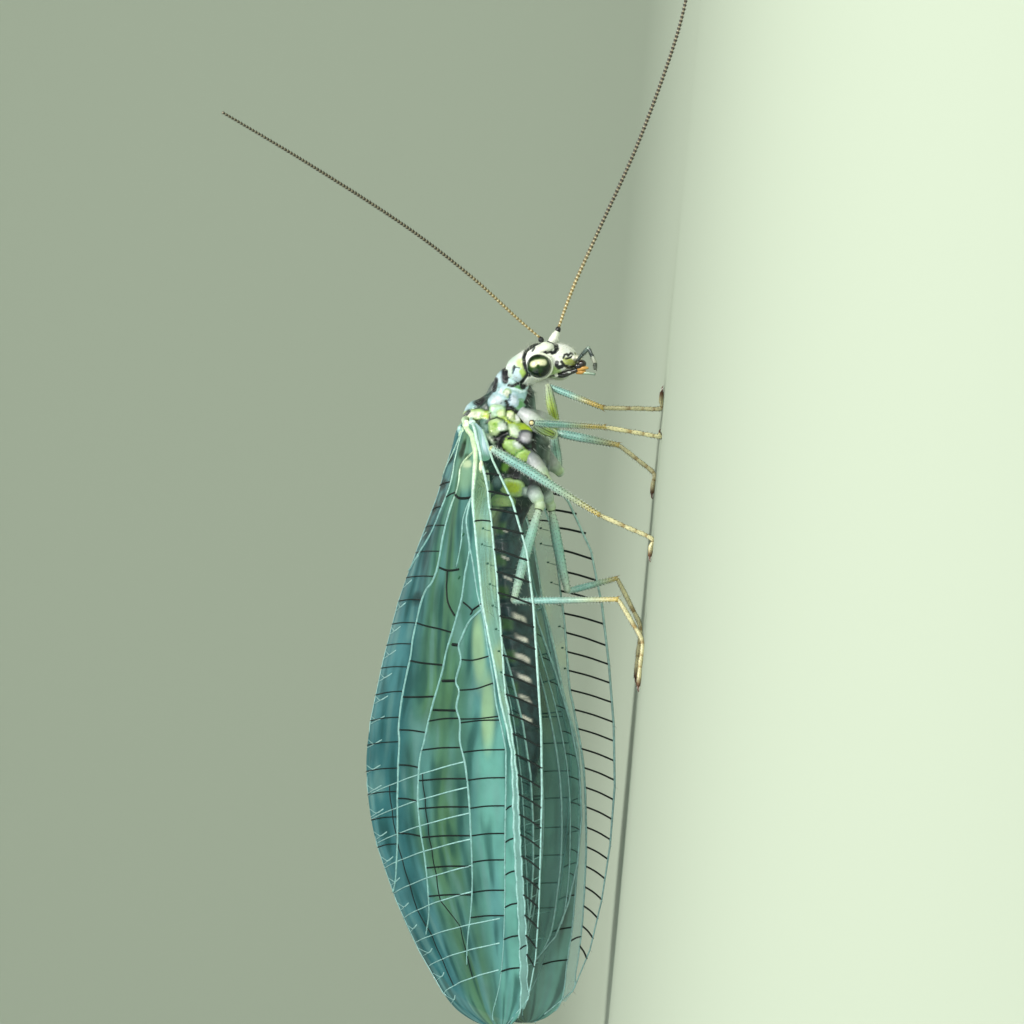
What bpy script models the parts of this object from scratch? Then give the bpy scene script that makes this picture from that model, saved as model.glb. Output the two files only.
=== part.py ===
import math

import bmesh
import bpy
from mathutils import Matrix, Vector

# Units and names
MM = 0.001
OBJECT_NAME = "green_lacewing"

# Pose of the body on the floor
BODY_ROLL = math.radians(-19.0)
BODY_PITCH = math.radians(5.2)
BODY_LIFT = 3.02
AXIS_HEIGHT = 0.26

# Gaps between neighbouring nodes
GAP = 0.20
HEAD_GAP = 0.08
LEG_GAP = 0.12

# Thorax and abdomen, as stations of length, half width, top and bottom
PROTHORAX = ((1.58, 0.34, 0.27, -0.46), (1.46, 0.38, 0.38, -0.54), (1.34, 0.42, 0.45, -0.58),
             (1.20, 0.46, 0.54, -0.60), (1.08, 0.48, 0.76, -0.60), (0.90, 0.50, 0.93, -0.60))
MESOTHORAX = ((0.72, 0.54, 1.02, -0.64), (0.50, 0.66, 1.08, -0.78), (0.15, 0.74, 0.98, -0.90),
              (-0.18, 0.70, 0.84, -0.90))
METATHORAX = ((-0.36, 0.66, 0.76, -0.88), (-0.65, 0.66, 0.76, -0.90), (-0.95, 0.56, 0.66, -0.82),
              (-1.12, 0.46, 0.60, -0.60))
ABDOMEN = ((-1.30, 0.42, 0.62, -0.46), (-1.90, 0.46, 0.76, -0.32), (-2.80, 0.52, 0.78, -0.44),
           (-3.70, 0.58, 0.74, -0.58), (-5.0, 0.60, 0.70, -0.70), (-6.2, 0.56, 0.62, -0.72),
           (-7.0, 0.44, 0.46, -0.64), (-7.45, 0.24, 0.20, -0.46))
ABDOMEN_SEGMENTS = 9
ABDOMEN_GROOVE = 0.05
BODY_SIDES = 22

# Head, in body coordinates
HEAD_CENTRE = (1.90, 0.0, -0.80)
HEAD_RADII = (0.36, 0.62, 0.60)
VERTEX_CENTRE = (2.02, 0.0, -0.58)
VERTEX_RADII = (0.32, 0.42, 0.36)
FACE_CENTRE = (1.96, 0.0, -1.15)
FACE_RADII = (0.33, 0.44, 0.42)
FACE_TILT = math.radians(-8.0)
OCCIPUT_CENTRE = (1.74, 0.0, -0.40)
OCCIPUT_RADII = (0.34, 0.50, 0.42)
EYE_CENTRE = (1.81, 0.76, -0.96)
EYE_RADII = (0.27, 0.26, 0.28)
MOUTH_CENTRE = (1.80, 0.0, -1.66)
MOUTH_RADII = (0.24, 0.30, 0.28)
SOCKET = (2.20, 0.20, -0.93)

# Wings
WING_THICKNESS = 0.50
WING_TIP_THICKNESS = 0.28
WING_TAPER_START = -8.5
VEIN_RISE = 0.07
WING_STACK = WING_THICKNESS + GAP + VEIN_RISE
# Forewing: length, half spread and height of the front margin, then of the hind margin
FOREWING = ((0.42, 0.98, 0.66, 0.84, 0.98), (0.20, 1.16, 0.40, 0.66, 1.24),
            (-0.11, 1.36, 0.00, 0.52, 1.42), (-0.43, 1.54, -0.28, 0.46, 1.50),
            (-1.01, 1.84, -0.69, 0.42, 1.66), (-1.66, 2.07, -1.03, 0.40, 1.92),
            (-2.45, 2.20, -1.23, 0.40, 2.26), (-3.23, 2.30, -1.36, 0.40, 2.50),
            (-4.17, 2.40, -1.45, 0.40, 2.73), (-5.08, 2.44, -1.54, 0.40, 2.95),
            (-5.98, 2.46, -1.60, 0.40, 3.14), (-6.88, 2.48, -1.63, 0.40, 3.22),
            (-8.17, 2.42, -1.58, 0.40, 3.08), (-9.29, 2.24, -1.49, 0.40, 2.72),
            (-10.54, 1.94, -1.33, 0.40, 2.18), (-11.50, 1.62, -1.09, 0.46, 1.56),
            (-12.05, 1.36, -0.82, 0.58, 1.04), (-12.34, 1.12, -0.52, 0.74, 0.50),
            (-12.45, 0.98, -0.24, 0.86, 0.06))
FOREWING_BULGE = ((0.42, 0.0), (-0.43, 0.22), (-1.66, 0.50), (-3.2, 0.42), (-5.0, 0.26), (-9.0, 0.18),
                  (-12.45, 0.0))
FOREWING_STATIONS = 39
FOREWING_COLUMNS = (0.0, 0.04, 0.11, 0.18, 0.22, 0.26, 0.35, 0.44, 0.49, 0.54, 0.59, 0.64, 0.69, 0.77,
                    0.84, 0.91, 0.97, 1.0)
FOREWING_VEINS = (0.0, 0.22, 0.49, 0.64, 0.84)
# Hindwing: length, then front and hind margin as fractions of the forewing's chord
HINDWING = ((-0.62, 0.36, 0.52), (-1.2, 0.34, 0.60), (-2.2, 0.30, 0.66), (-3.3, 0.285, 0.70),
            (-4.6, 0.225, 0.72), (-6.0, 0.17, 0.73), (-7.4, 0.14, 0.73), (-8.8, 0.15, 0.71),
            (-9.8, 0.18, 0.68), (-10.5, 0.23, 0.63), (-10.95, 0.31, 0.55), (-11.15, 0.38, 0.48))
HINDWING_STATIONS = 33
HINDWING_COLUMNS = (0.0, 0.06, 0.14, 0.20, 0.26, 0.38, 0.48, 0.54, 0.60, 0.72, 0.80, 0.88, 1.0)
HINDWING_VEINS = (0.0, 0.20, 0.54, 0.80)

# Legs: base in body coordinates, then joints as length, depth and height before the pitch
COXA_RADIUS = 0.28
THIGH_RADIUS = 0.25
SHIN_RADIUS = 0.24
FOOT_RADIUS = 0.18
SOLE_DEPTH = 0.10
LEG_SIDES = 10
LEGS = {
    "leg_fore_right": ((0.84, -0.34, -0.40), (0.36, -0.72, -0.76), (0.62, -2.66, -0.26),
                       (0.47, -1.20, -1.83), (0.56, -0.86, 0.0), (0.62, -0.50, 0.0)),
    "leg_fore_left": ((0.80, 0.34, -0.40), (0.52, 0.66, -0.82), (1.42, 2.50, -0.62),
                      (0.94, 1.60, -1.83), (1.20, 1.45, 0.0), (1.56, 1.30, 0.0)),
    "leg_mid_right": ((-0.02, -0.42, -0.60), (-0.42, -0.86, -0.78), (-0.02, -2.60, 0.50),
                      (-1.15, -2.40, -1.70), (-1.44, -2.36, 0.0), (-1.86, -2.34, 0.0)),
    "leg_mid_left": ((0.0, 0.42, -0.60), (-0.46, 0.64, -0.88), (0.42, 2.60, -0.76),
                     (0.13, 2.20, -2.18), (-0.22, 2.16, 0.0), (-0.66, 2.12, 0.0)),
    "leg_hind_right": ((-0.76, -0.34, -0.60), (-1.15, -0.70, -0.54), (-3.23, -1.42, 0.04),
                       (-3.22, -2.30, -2.10), (-3.85, -2.46, 0.0), (-4.80, -2.56, 0.0)),
    "leg_hind_left": ((-0.72, 0.34, -0.60), (-1.12, 0.34, -0.74), (-3.06, 0.80, -1.05),
                      (-2.78, 1.20, -2.12), (-3.60, 1.36, 0.0), (-4.70, 1.50, 0.0)),
}

# Feelers: joints as length, depth and height before the pitch
FEELER_SIDES = 8
FEELER_RADIUS = 0.25
FEELER_TIP = 0.10
FEELERS = {
    "antenna_right": ((2.46, -0.50, -0.42), (2.84, -0.90, 0.06), (3.72, -1.60, 1.05),
                      (4.75, -2.70, 2.43), (5.98, -4.40, 4.41), (7.05, -6.10, 6.28)),
    "antenna_left": ((2.58, -0.06, -0.80), (3.55, 0.20, -1.16), (4.80, 0.34, -1.72),
                     (6.71, 0.40, -2.58), (8.99, 0.40, -3.40), (10.54, 0.40, -3.74),
                     (11.40, 0.40, -3.80)),
}

COLOURS = {
    "head": (0.62, 0.74, 0.52, 1.0),
    "eye": (0.03, 0.10, 0.07, 1.0),
    "mouthparts": (0.42, 0.30, 0.12, 1.0),
    "antenna": (0.16, 0.10, 0.06, 1.0),
    "prothorax": (0.42, 0.62, 0.56, 1.0),
    "mesothorax": (0.50, 0.66, 0.42, 1.0),
    "metathorax": (0.46, 0.62, 0.44, 1.0),
    "abdomen": (0.10, 0.18, 0.17, 1.0),
    "forewing": (0.40, 0.66, 0.62, 0.55),
    "hindwing": (0.36, 0.60, 0.58, 0.55),
    "leg": (0.20, 0.42, 0.38, 1.0),
}
GLOSSY = ("eye",)


def body_point(length, side, height):
    """Body coordinates to the frame before the pitch."""
    turned = Matrix.Rotation(BODY_ROLL, 3, "X") @ Vector((0.0, side, height))
    return Vector((length, turned.y, AXIS_HEIGHT + turned.z))


def stand(point):
    """The frame before the pitch to the floor, in millimetres."""
    lift = Vector((0.0, 0.0, BODY_LIFT))
    return Matrix.Rotation(-BODY_PITCH, 3, "Y") @ Vector(point) + lift


def between(table, key, column):
    """Smooth value of one column of a table of stations."""
    rows = sorted(table, key=lambda row: -row[0])
    last = len(rows) - 1
    if key >= rows[0][0]:
        return rows[0][column]
    if key <= rows[last][0]:
        return rows[last][column]
    index = next(i for i in range(last) if rows[i][0] >= key >= rows[i + 1][0])
    before = rows[max(index - 1, 0)]
    start = rows[index]
    end = rows[index + 1]
    after = rows[min(index + 2, last)]
    span = end[0] - start[0]
    part = (key - start[0]) / span
    slope_a = (end[column] - before[column]) / (end[0] - before[0])
    slope_b = (after[column] - start[column]) / (after[0] - start[0])
    square = part * part
    cube = square * part
    return ((2 * cube - 3 * square + 1) * start[column] + (cube - 2 * square + part) * span * slope_a
            + (3 * square - 2 * cube) * end[column] + (cube - square) * span * slope_b)


def curve_points(joints, steps):
    """Smooth line through joints, with an even number of steps in each span."""
    points = []
    for i in range(len(joints) - 1):
        a = joints[max(i - 1, 0)]
        b = joints[i]
        c = joints[i + 1]
        d = joints[min(i + 2, len(joints) - 1)]
        for k in range(steps):
            t = k / steps
            points.append(0.5 * ((2 * b) + (c - a) * t + (2 * a - 5 * b + 4 * c - d) * t * t
                                 + (3 * b - a - 3 * c + d) * t ** 3))
    points.append(joints[-1])
    return points


def link(mesh, name, collection):
    thing = bpy.data.objects.new(name, mesh)
    collection.objects.link(thing)
    return thing


def mesh_object(name, vertices, faces, collection):
    mesh = bpy.data.meshes.new(name)
    mesh.from_pydata([v * MM for v in vertices], [], faces)
    mesh.validate()
    work = bmesh.new()
    work.from_mesh(mesh)
    bmesh.ops.recalc_face_normals(work, faces=work.faces)
    work.to_mesh(mesh)
    work.free()
    return link(mesh, name, collection)


def ring_loft(name, rings, collection):
    """Closed loft through rings of equal count, with flat ends."""
    count = len(rings[0])
    vertices = [v for ring in rings for v in ring]
    faces = []
    for i in range(len(rings) - 1):
        for j in range(count):
            k = (j + 1) % count
            faces.append((i * count + j, i * count + k, (i + 1) * count + k, (i + 1) * count + j))
    faces.append(tuple(range(count)))
    faces.append(tuple(range((len(rings) - 1) * count, len(rings) * count)))
    return mesh_object(name, vertices, faces, collection)


def body_ring(length, half_width, top, bottom, grow):
    ring = []
    middle = 0.5 * (top + bottom)
    half_height = 0.5 * (top - bottom)
    for j in range(BODY_SIDES):
        turn = 2 * math.pi * j / BODY_SIDES
        side = (half_width + grow) * math.cos(turn)
        height = middle + (half_height + grow) * math.sin(turn)
        ring.append(stand(body_point(length, side, height)))
    return ring


def body_loft(name, table, stations, collection, groove=0.0, segments=1, grow=0.0):
    """Length of the trunk, with its segments raised between grooves."""
    first = table[0][0]
    last = table[-1][0]
    rings = []
    for i in range(stations + 1):
        part = i / stations
        length = first + (last - first) * part
        dip = groove * (1.0 - abs(math.sin(math.pi * part * segments)) ** 0.5) if groove else 0.0
        rings.append(body_ring(length + grow * (1 - 2 * part), between(table, length, 1) - dip,
                               between(table, length, 2) - dip, between(table, length, 3) + dip, grow))
    return ring_loft(name, rings, collection)


def ellipsoid(name, centre, radii, collection, segments=24, rings=16, grow=0.0, tilt=0.0):
    mesh = bpy.data.meshes.new(name)
    work = bmesh.new()
    bmesh.ops.create_uvsphere(work, u_segments=segments, v_segments=rings, radius=1.0)
    turn = Matrix.Rotation(tilt, 3, "Y")
    for v in work.verts:
        sized = Vector((v.co.x * (radii[0] + grow), v.co.y * (radii[1] + grow), v.co.z * (radii[2] + grow)))
        place = turn @ sized + Vector(centre)
        v.co = stand(body_point(place.x, place.y, place.z)) * MM
    work.to_mesh(mesh)
    work.free()
    return link(mesh, name, collection)


def tube(name, points, radii, sides, collection):
    """Round bar along a line, as a bevelled curve with caps."""
    curve = bpy.data.curves.new(name, "CURVE")
    curve.dimensions = "3D"
    curve.bevel_depth = MM
    curve.bevel_resolution = sides // 2 - 2
    curve.use_fill_caps = True
    spline = curve.splines.new("POLY")
    spline.points.add(len(points) - 1)
    for spot, place, radius in zip(spline.points, points, radii):
        spot.co = (*(place * MM), 1.0)
        spot.radius = radius
    holder = bpy.data.objects.new(name + "_line", curve)
    collection.objects.link(holder)
    bpy.context.view_layer.update()
    shape = holder.evaluated_get(bpy.context.evaluated_depsgraph_get())
    mesh = bpy.data.meshes.new_from_object(shape)
    bpy.data.objects.remove(holder)
    bpy.data.curves.remove(curve)
    work = bmesh.new()
    work.from_mesh(mesh)
    bmesh.ops.remove_doubles(work, verts=work.verts, dist=0.000002)
    bmesh.ops.recalc_face_normals(work, faces=work.faces)
    work.to_mesh(mesh)
    work.free()
    mesh.name = name
    return link(mesh, name, collection)


def wing_section(length, part, side):
    """Point of the forewing's middle surface, in body coordinates."""
    front = Vector((between(FOREWING, length, 1), between(FOREWING, length, 2)))
    hind = Vector((between(FOREWING, length, 3), between(FOREWING, length, 4)))
    chord = hind - front
    outward = Vector((chord.y, -chord.x)).normalized()
    bulge = between(FOREWING_BULGE, length, 1) * 4 * part * (1 - part)
    place = front + chord * part + outward * bulge
    return Vector((length, side * place.x, place.y))


def wing_normal(length, part, side):
    step = 0.01
    low = max(part - step, 0.0)
    high = min(part + step, 1.0)
    back = max(length - 0.03, FOREWING[-1][0])
    ahead = min(length + 0.03, FOREWING[0][0])
    along = wing_section(ahead, part, side) - wing_section(back, part, side)
    across = wing_section(length, high, side) - wing_section(length, low, side)
    normal = along.cross(across).normalized()
    return normal if normal.y * side > 0 else -normal


def wing_stations(first, last, count):
    """Stations that close up towards the root and the tip."""
    places = []
    for i in range(count):
        part = i / (count - 1)
        eased = part - 0.11 * math.sin(2 * math.pi * part) / 2
        places.append(first + (last - first) * eased)
    return places


def wing(name, side, margins, stations, columns, veins, inward, collection):
    """Closed thin sheet with its veins raised in both faces."""
    outer = []
    inner = []
    for i, length in enumerate(stations):
        front, hind = margins(length)
        for column in columns:
            part = front + (hind - front) * column
            normal = wing_normal(length, part, side)
            middle = wing_section(length, part, side) - normal * inward
            crossing = i % 2 == 0 and veins[0] < column < veins[1]
            rise = VEIN_RISE if column in veins or crossing else 0.0
            tip = max((WING_TAPER_START - length) / (WING_TAPER_START - FOREWING[-1][0]), 0.0)
            half = 0.5 * (WING_THICKNESS + (WING_TIP_THICKNESS - WING_THICKNESS) * tip) + rise
            outer.append(stand(body_point(*(middle + normal * half))))
            inner.append(stand(body_point(*(middle - normal * half))))
    width = len(columns)
    rows = len(stations)
    base = len(outer)
    faces = []
    for i in range(rows - 1):
        for j in range(width - 1):
            a = i * width + j
            b = a + 1
            c = a + width
            d = c + 1
            faces += [(a, b, d), (a, d, c)]
            faces += [(base + a, base + d, base + b), (base + a, base + c, base + d)]
    rim = [j for j in range(width)]
    rim += [i * width + width - 1 for i in range(1, rows)]
    rim += [(rows - 1) * width + j for j in range(width - 2, -1, -1)]
    rim += [i * width for i in range(rows - 2, 0, -1)]
    for k, a in enumerate(rim):
        b = rim[(k + 1) % len(rim)]
        faces.append((a, base + a, base + b, b))
    return mesh_object(name, outer + inner, faces, collection)


def join_pieces(name, pieces, collection):
    """One closed solid from overlapping pieces."""
    bag = bpy.data.collections.new(name + "_pieces")
    bpy.context.scene.collection.children.link(bag)
    first = pieces[0]
    for piece in pieces[1:]:
        for owner in list(piece.users_collection):
            owner.objects.unlink(piece)
        bag.objects.link(piece)
    union = first.modifiers.new("union", "BOOLEAN")
    union.operation = "UNION"
    union.operand_type = "COLLECTION"
    union.collection = bag
    union.solver = "EXACT"
    apply_modifiers(first)
    for piece in list(bag.objects):
        bpy.data.objects.remove(piece)
    bpy.data.collections.remove(bag)
    first.name = name
    first.data.name = name
    return first


def apply_modifiers(thing):
    bpy.context.view_layer.update()
    shape = thing.evaluated_get(bpy.context.evaluated_depsgraph_get())
    mesh = bpy.data.meshes.new_from_object(shape)
    thing.modifiers.clear()
    thing.data = mesh
    keep_largest(thing)


def keep_largest(thing):
    work = bmesh.new()
    work.from_mesh(thing.data)
    bmesh.ops.remove_doubles(work, verts=work.verts, dist=0.000001)
    left = set(work.faces)
    groups = []
    while left:
        seed = left.pop()
        group = {seed}
        queue = [seed]
        while queue:
            face = queue.pop()
            for edge in face.edges:
                for other in edge.link_faces:
                    if other in left:
                        left.remove(other)
                        group.add(other)
                        queue.append(other)
        groups.append(group)
    best = max(groups, key=lambda group: sum(face.calc_area() for face in group))
    drop = [face for group in groups if group is not best for face in group]
    bmesh.ops.delete(work, geom=drop, context="FACES")
    work.to_mesh(thing.data)
    work.free()


def carve(thing, tools):
    """Cut the tools out of a solid, so that it meets its neighbour face to face."""
    for tool in tools:
        cut = thing.modifiers.new("cut_" + tool.name, "BOOLEAN")
        cut.operation = "DIFFERENCE"
        cut.operand_type = "OBJECT"
        cut.object = tool
        cut.solver = "EXACT"
    apply_modifiers(thing)


def paint(thing, kind):
    material = bpy.data.materials.new(thing.name)
    material.use_nodes = True
    shader = material.node_tree.nodes["Principled BSDF"]
    shader.inputs["Base Color"].default_value = COLOURS[kind]
    shader.inputs["Alpha"].default_value = COLOURS[kind][3]
    shader.inputs["Roughness"].default_value = 0.15 if kind in GLOSSY else 0.45
    shader.inputs["Metallic"].default_value = 0.0
    thing.data.materials.clear()
    thing.data.materials.append(material)


# Clean scene with one collection for the parts and one for the cutters
for old in list(bpy.data.objects):
    bpy.data.objects.remove(old)
parts = bpy.data.collections.new(OBJECT_NAME)
bpy.context.scene.collection.children.link(parts)
cutters = bpy.data.collections.new("cutters")
bpy.context.scene.collection.children.link(cutters)

# Trunk
prothorax = body_loft("prothorax", PROTHORAX, 7, parts)
mesothorax = body_loft("mesothorax", MESOTHORAX, 6, parts)
metathorax = body_loft("metathorax", METATHORAX, 6, parts)
abdomen = body_loft("abdomen", ABDOMEN, 3 * ABDOMEN_SEGMENTS, parts, ABDOMEN_GROOVE, ABDOMEN_SEGMENTS)
trunk_cutters = [
    body_loft("prothorax_clear", PROTHORAX, 7, cutters, grow=LEG_GAP),
    body_loft("mesothorax_clear", MESOTHORAX, 6, cutters, grow=LEG_GAP),
    body_loft("metathorax_clear", METATHORAX, 6, cutters, grow=LEG_GAP),
]

# Head with its sockets for the eyes
head = ellipsoid("head", HEAD_CENTRE, HEAD_RADII, parts)
face = ellipsoid("face", FACE_CENTRE, FACE_RADII, parts, tilt=FACE_TILT)
occiput = ellipsoid("occiput", OCCIPUT_CENTRE, OCCIPUT_RADII, parts)
vertex = ellipsoid("vertex", VERTEX_CENTRE, VERTEX_RADII, parts, 20, 14)
head = join_pieces("head", [head, face, occiput, vertex], parts)
eyes = []
eye_cutters = []
for side, word in ((-1, "right"), (1, "left")):
    centre = (EYE_CENTRE[0], side * EYE_CENTRE[1], EYE_CENTRE[2])
    eyes.append(ellipsoid("eye_" + word, centre, EYE_RADII, parts, 16, 12))
    eye_cutters.append(ellipsoid("eye_clear_" + word, centre, EYE_RADII, cutters, 16, 12, HEAD_GAP))
carve(head, eye_cutters)

# Jaws and palps below the face
mouth = ellipsoid("mouthparts", MOUTH_CENTRE, MOUTH_RADII, parts, 16, 10)
palps = []
for side in (-1, 1):
    line = [(1.86, 0.16, -1.72), (2.06, 0.24, -1.76), (2.10, 0.26, -1.90), (1.90, 0.26, -2.04)]
    spots = [stand(body_point(x, side * y, z)) for x, y, z in line]
    palps.append(tube("palp", curve_points(spots, 3), [0.09] * 7 + [0.08, 0.07, 0.06], 8, parts))
mouth = join_pieces("mouthparts", [mouth] + palps, parts)
face_cutters = [
    ellipsoid("occiput_clear", OCCIPUT_CENTRE, OCCIPUT_RADII, cutters, grow=HEAD_GAP),
    ellipsoid("head_clear", HEAD_CENTRE, HEAD_RADII, cutters, grow=HEAD_GAP),
    ellipsoid("face_clear", FACE_CENTRE, FACE_RADII, cutters, grow=HEAD_GAP, tilt=FACE_TILT),
    ellipsoid("vertex_clear", VERTEX_CENTRE, VERTEX_RADII, cutters, grow=HEAD_GAP),
]
carve(mouth, face_cutters)
carve(prothorax, face_cutters)

# Feelers
feelers = []
for name, joints in FEELERS.items():
    side = -1 if name.endswith("right") else 1
    root = Vector(SOCKET) + Vector((0.0, 0.0, 0.0))
    start = body_point(root.x, side * root.y, root.z)
    line = curve_points([stand(p) for p in [start] + [Vector(j) for j in joints]], 5)
    count = len(line)
    radii = []
    for i in range(count):
        part = i / (count - 1)
        swell = min(part / 0.16, 1.0)
        radii.append((0.15 + (FEELER_RADIUS - 0.15) * swell) * (1 - part) + FEELER_TIP * part)
    feelers.append(tube(name, line, radii, FEELER_SIDES, parts))
    carve(feelers[-1], face_cutters)

# Wings
for side, word in ((-1, "right"), (1, "left")):
    fore = wing("forewing_" + word, side, lambda length: (0.0, 1.0),
                wing_stations(FOREWING[0][0], FOREWING[-1][0], FOREWING_STATIONS),
                FOREWING_COLUMNS, FOREWING_VEINS, 0.0, parts)
    hind = wing("hindwing_" + word, side,
                lambda length: (between(HINDWING, length, 1), between(HINDWING, length, 2)),
                wing_stations(HINDWING[0][0], HINDWING[-1][0], HINDWING_STATIONS),
                HINDWING_COLUMNS, HINDWING_VEINS, WING_STACK, parts)
    carve(fore, trunk_cutters[1:2])
    carve(hind, trunk_cutters[2:3])

# Legs, each standing on a flat sole
for name, joints in LEGS.items():
    hip = body_point(*joints[0])
    high = [Vector(j) for j in joints[1:4]]
    spots = [stand(p) for p in [hip] + high]
    for length, depth, _ in joints[4:]:
        spots.append(Vector((length, depth, FOOT_RADIUS - SOLE_DEPTH)))
    radii = (COXA_RADIUS, COXA_RADIUS, THIGH_RADIUS, SHIN_RADIUS, FOOT_RADIUS, FOOT_RADIUS * 0.8)
    line = []
    widths = []
    for i in range(len(spots) - 1):
        steps = 3 if i in (1, 2) else 2
        for k in range(steps):
            t = k / steps
            line.append(spots[i].lerp(spots[i + 1], t))
            widths.append(radii[i] + (radii[i + 1] - radii[i]) * t)
    line.append(spots[-1])
    widths.append(radii[-1])
    leg = tube(name, line, widths, LEG_SIDES, parts)
    for v in leg.data.vertices:
        v.co.z = max(v.co.z, 0.0)
    carve(leg, trunk_cutters)

# Model centred over the floor, origins at their own middles
corners = [v.co for thing in parts.objects for v in thing.data.vertices]
middle_x = 0.5 * (min(c.x for c in corners) + max(c.x for c in corners))
middle_y = 0.5 * (min(c.y for c in corners) + max(c.y for c in corners))
shift = Vector((-middle_x, -middle_y, 0.0))
for thing in parts.objects:
    for v in thing.data.vertices:
        v.co += shift
    kind = thing.name.split("_")[0]
    paint(thing, kind)
for tool in cutters.objects:
    for v in tool.data.vertices:
        v.co += shift
    tool.hide_render = True
    tool.display_type = "WIRE"
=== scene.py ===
import math
import random

import bpy
from mathutils import Matrix, Vector, noise

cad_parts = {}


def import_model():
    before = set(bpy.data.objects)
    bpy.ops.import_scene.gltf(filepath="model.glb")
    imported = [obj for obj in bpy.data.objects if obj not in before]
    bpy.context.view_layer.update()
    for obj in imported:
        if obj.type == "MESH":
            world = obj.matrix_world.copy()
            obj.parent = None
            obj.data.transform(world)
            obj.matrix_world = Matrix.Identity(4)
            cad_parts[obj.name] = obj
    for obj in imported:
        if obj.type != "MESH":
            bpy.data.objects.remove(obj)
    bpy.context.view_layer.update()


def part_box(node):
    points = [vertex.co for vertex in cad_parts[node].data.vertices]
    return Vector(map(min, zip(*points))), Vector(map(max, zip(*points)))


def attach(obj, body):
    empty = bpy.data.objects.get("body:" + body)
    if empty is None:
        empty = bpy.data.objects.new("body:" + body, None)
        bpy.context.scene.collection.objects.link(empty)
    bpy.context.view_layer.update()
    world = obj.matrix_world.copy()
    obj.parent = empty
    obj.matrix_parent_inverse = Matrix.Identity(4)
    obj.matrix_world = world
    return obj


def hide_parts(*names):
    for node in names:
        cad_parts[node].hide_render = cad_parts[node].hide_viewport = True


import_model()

MM = 0.001
PER_METRE = 1000
PIXELS_PER_MM = 46.5
# Where the body's own origin shows in the frame
FRAME_ORIGIN = (520, 450)
BODY_ROLL = math.radians(-19.0)
BODY_PITCH = math.radians(5.2)
BODY_LIFT = 3.02
AXIS_HEIGHT = 0.26
ROLL_MATRIX = Matrix.Rotation(BODY_ROLL, 3, "X")
PITCH_MATRIX = Matrix.Rotation(-BODY_PITCH, 3, "Y")
EYE_CENTRE = (1.81, 0.76, -0.96)
SIDES = ((-1, "right"), (1, "left"))


def body_point(place):
    """Body coordinates to the frame before the pitch."""
    turned = ROLL_MATRIX @ Vector((0.0, place[1], place[2]))
    return Vector((place[0], turned.y, AXIS_HEIGHT + turned.z))


def stand(place):
    """Tips the body up by its pitch and lifts it onto its legs."""
    return PITCH_MATRIX @ Vector(place) + Vector((0.0, 0.0, BODY_LIFT))


eye_low, eye_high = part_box("eye_right")
eye_middle = (Vector(eye_low) + Vector(eye_high)) / 2
SHIFT = eye_middle / MM - stand(body_point((EYE_CENTRE[0], -EYE_CENTRE[1], EYE_CENTRE[2])))


def world(place):
    """The frame before the pitch to the row's frame, in metres."""
    return (stand(place) + SHIFT) * MM


def body(place):
    """Body coordinates to the row's frame, in metres."""
    return world(body_point(place))


def mixed(a, b, part):
    """Colour part of the way from a to b."""
    return tuple(x + (y - x) * part for x, y in zip(a, b))


def eased(low, high, value):
    """0 at low, 1 at high and an even slope between; low may be above high."""
    part = min(max((value - low) / (high - low), 0.0), 1.0)
    return part * part * (3 - 2 * part)


def between(table, key, column):
    """Smooth value of one column of a table of stations that runs backwards."""
    last = len(table) - 1
    if key >= table[0][0]:
        return table[0][column]
    if key <= table[last][0]:
        return table[last][column]
    index = next(i for i in range(last) if table[i][0] >= key >= table[i + 1][0])
    before = table[max(index - 1, 0)]
    start = table[index]
    end = table[index + 1]
    after = table[min(index + 2, last)]
    span = end[0] - start[0]
    part = (key - start[0]) / span
    slope_a = (end[column] - before[column]) / (end[0] - before[0])
    slope_b = (after[column] - start[column]) / (after[0] - start[0])
    square = part * part
    cube = square * part
    return ((2 * cube - 3 * square + 1) * start[column] + (cube - 2 * square + part) * span * slope_a
            + (3 * square - 2 * cube) * end[column] + (cube - square) * span * slope_b)


def cloud(x, y, z):
    """Soft random value from 0 to 1."""
    return 0.5 + 0.5 * noise.noise(Vector((x, y, z)))


def spline(joints, steps):
    """Smooth line through joints given as vectors."""
    points = []
    for i in range(len(joints) - 1):
        a = joints[max(i - 1, 0)]
        b = joints[i]
        c = joints[i + 1]
        d = joints[min(i + 2, len(joints) - 1)]
        for k in range(steps):
            t = k / steps
            points.append(0.5 * ((2 * b) + (c - a) * t + (2 * a - 5 * b + 4 * c - d) * t * t
                                 + (3 * b - a - 3 * c + d) * t ** 3))
    points.append(joints[-1])
    return points


def stretch(share, count):
    """Index of the stretch of a row of values that holds a share of its length, and how far along."""
    at = share * (count - 1)
    low = min(int(at), count - 2)
    return low, at - low


def spoke(across, other, turn):
    """Direction at a turn between two axes."""
    return across * math.cos(turn) + other * math.sin(turn)


def axes(along):
    """Two axes square to a direction."""
    across = along.orthogonal().normalized()
    return across, along.cross(across)


def ray_at(tall, turn):
    """Direction at an angle from straight up and a turn about it."""
    return Vector((math.sin(tall) * math.cos(turn), math.sin(tall) * math.sin(turn), math.cos(tall)))


def map_spot(across, along):
    """Place in the bake map, clear of its edges."""
    return 0.05 + 0.9 * across, 0.05 + 0.9 * along


def grid_faces(rows, sides, closed=True, flip=False):
    """Faces between rows of points; flip turns them to face the other way."""
    faces = []
    for i in range(rows - 1):
        low = i * sides
        high = low + sides
        for j in range(sides if closed else sides - 1):
            k = (j + 1) % sides
            face = (low + j, low + k, high + k, high + j)
            faces.append((face[0], face[3], face[2], face[1]) if flip else face)
    return faces


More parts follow.
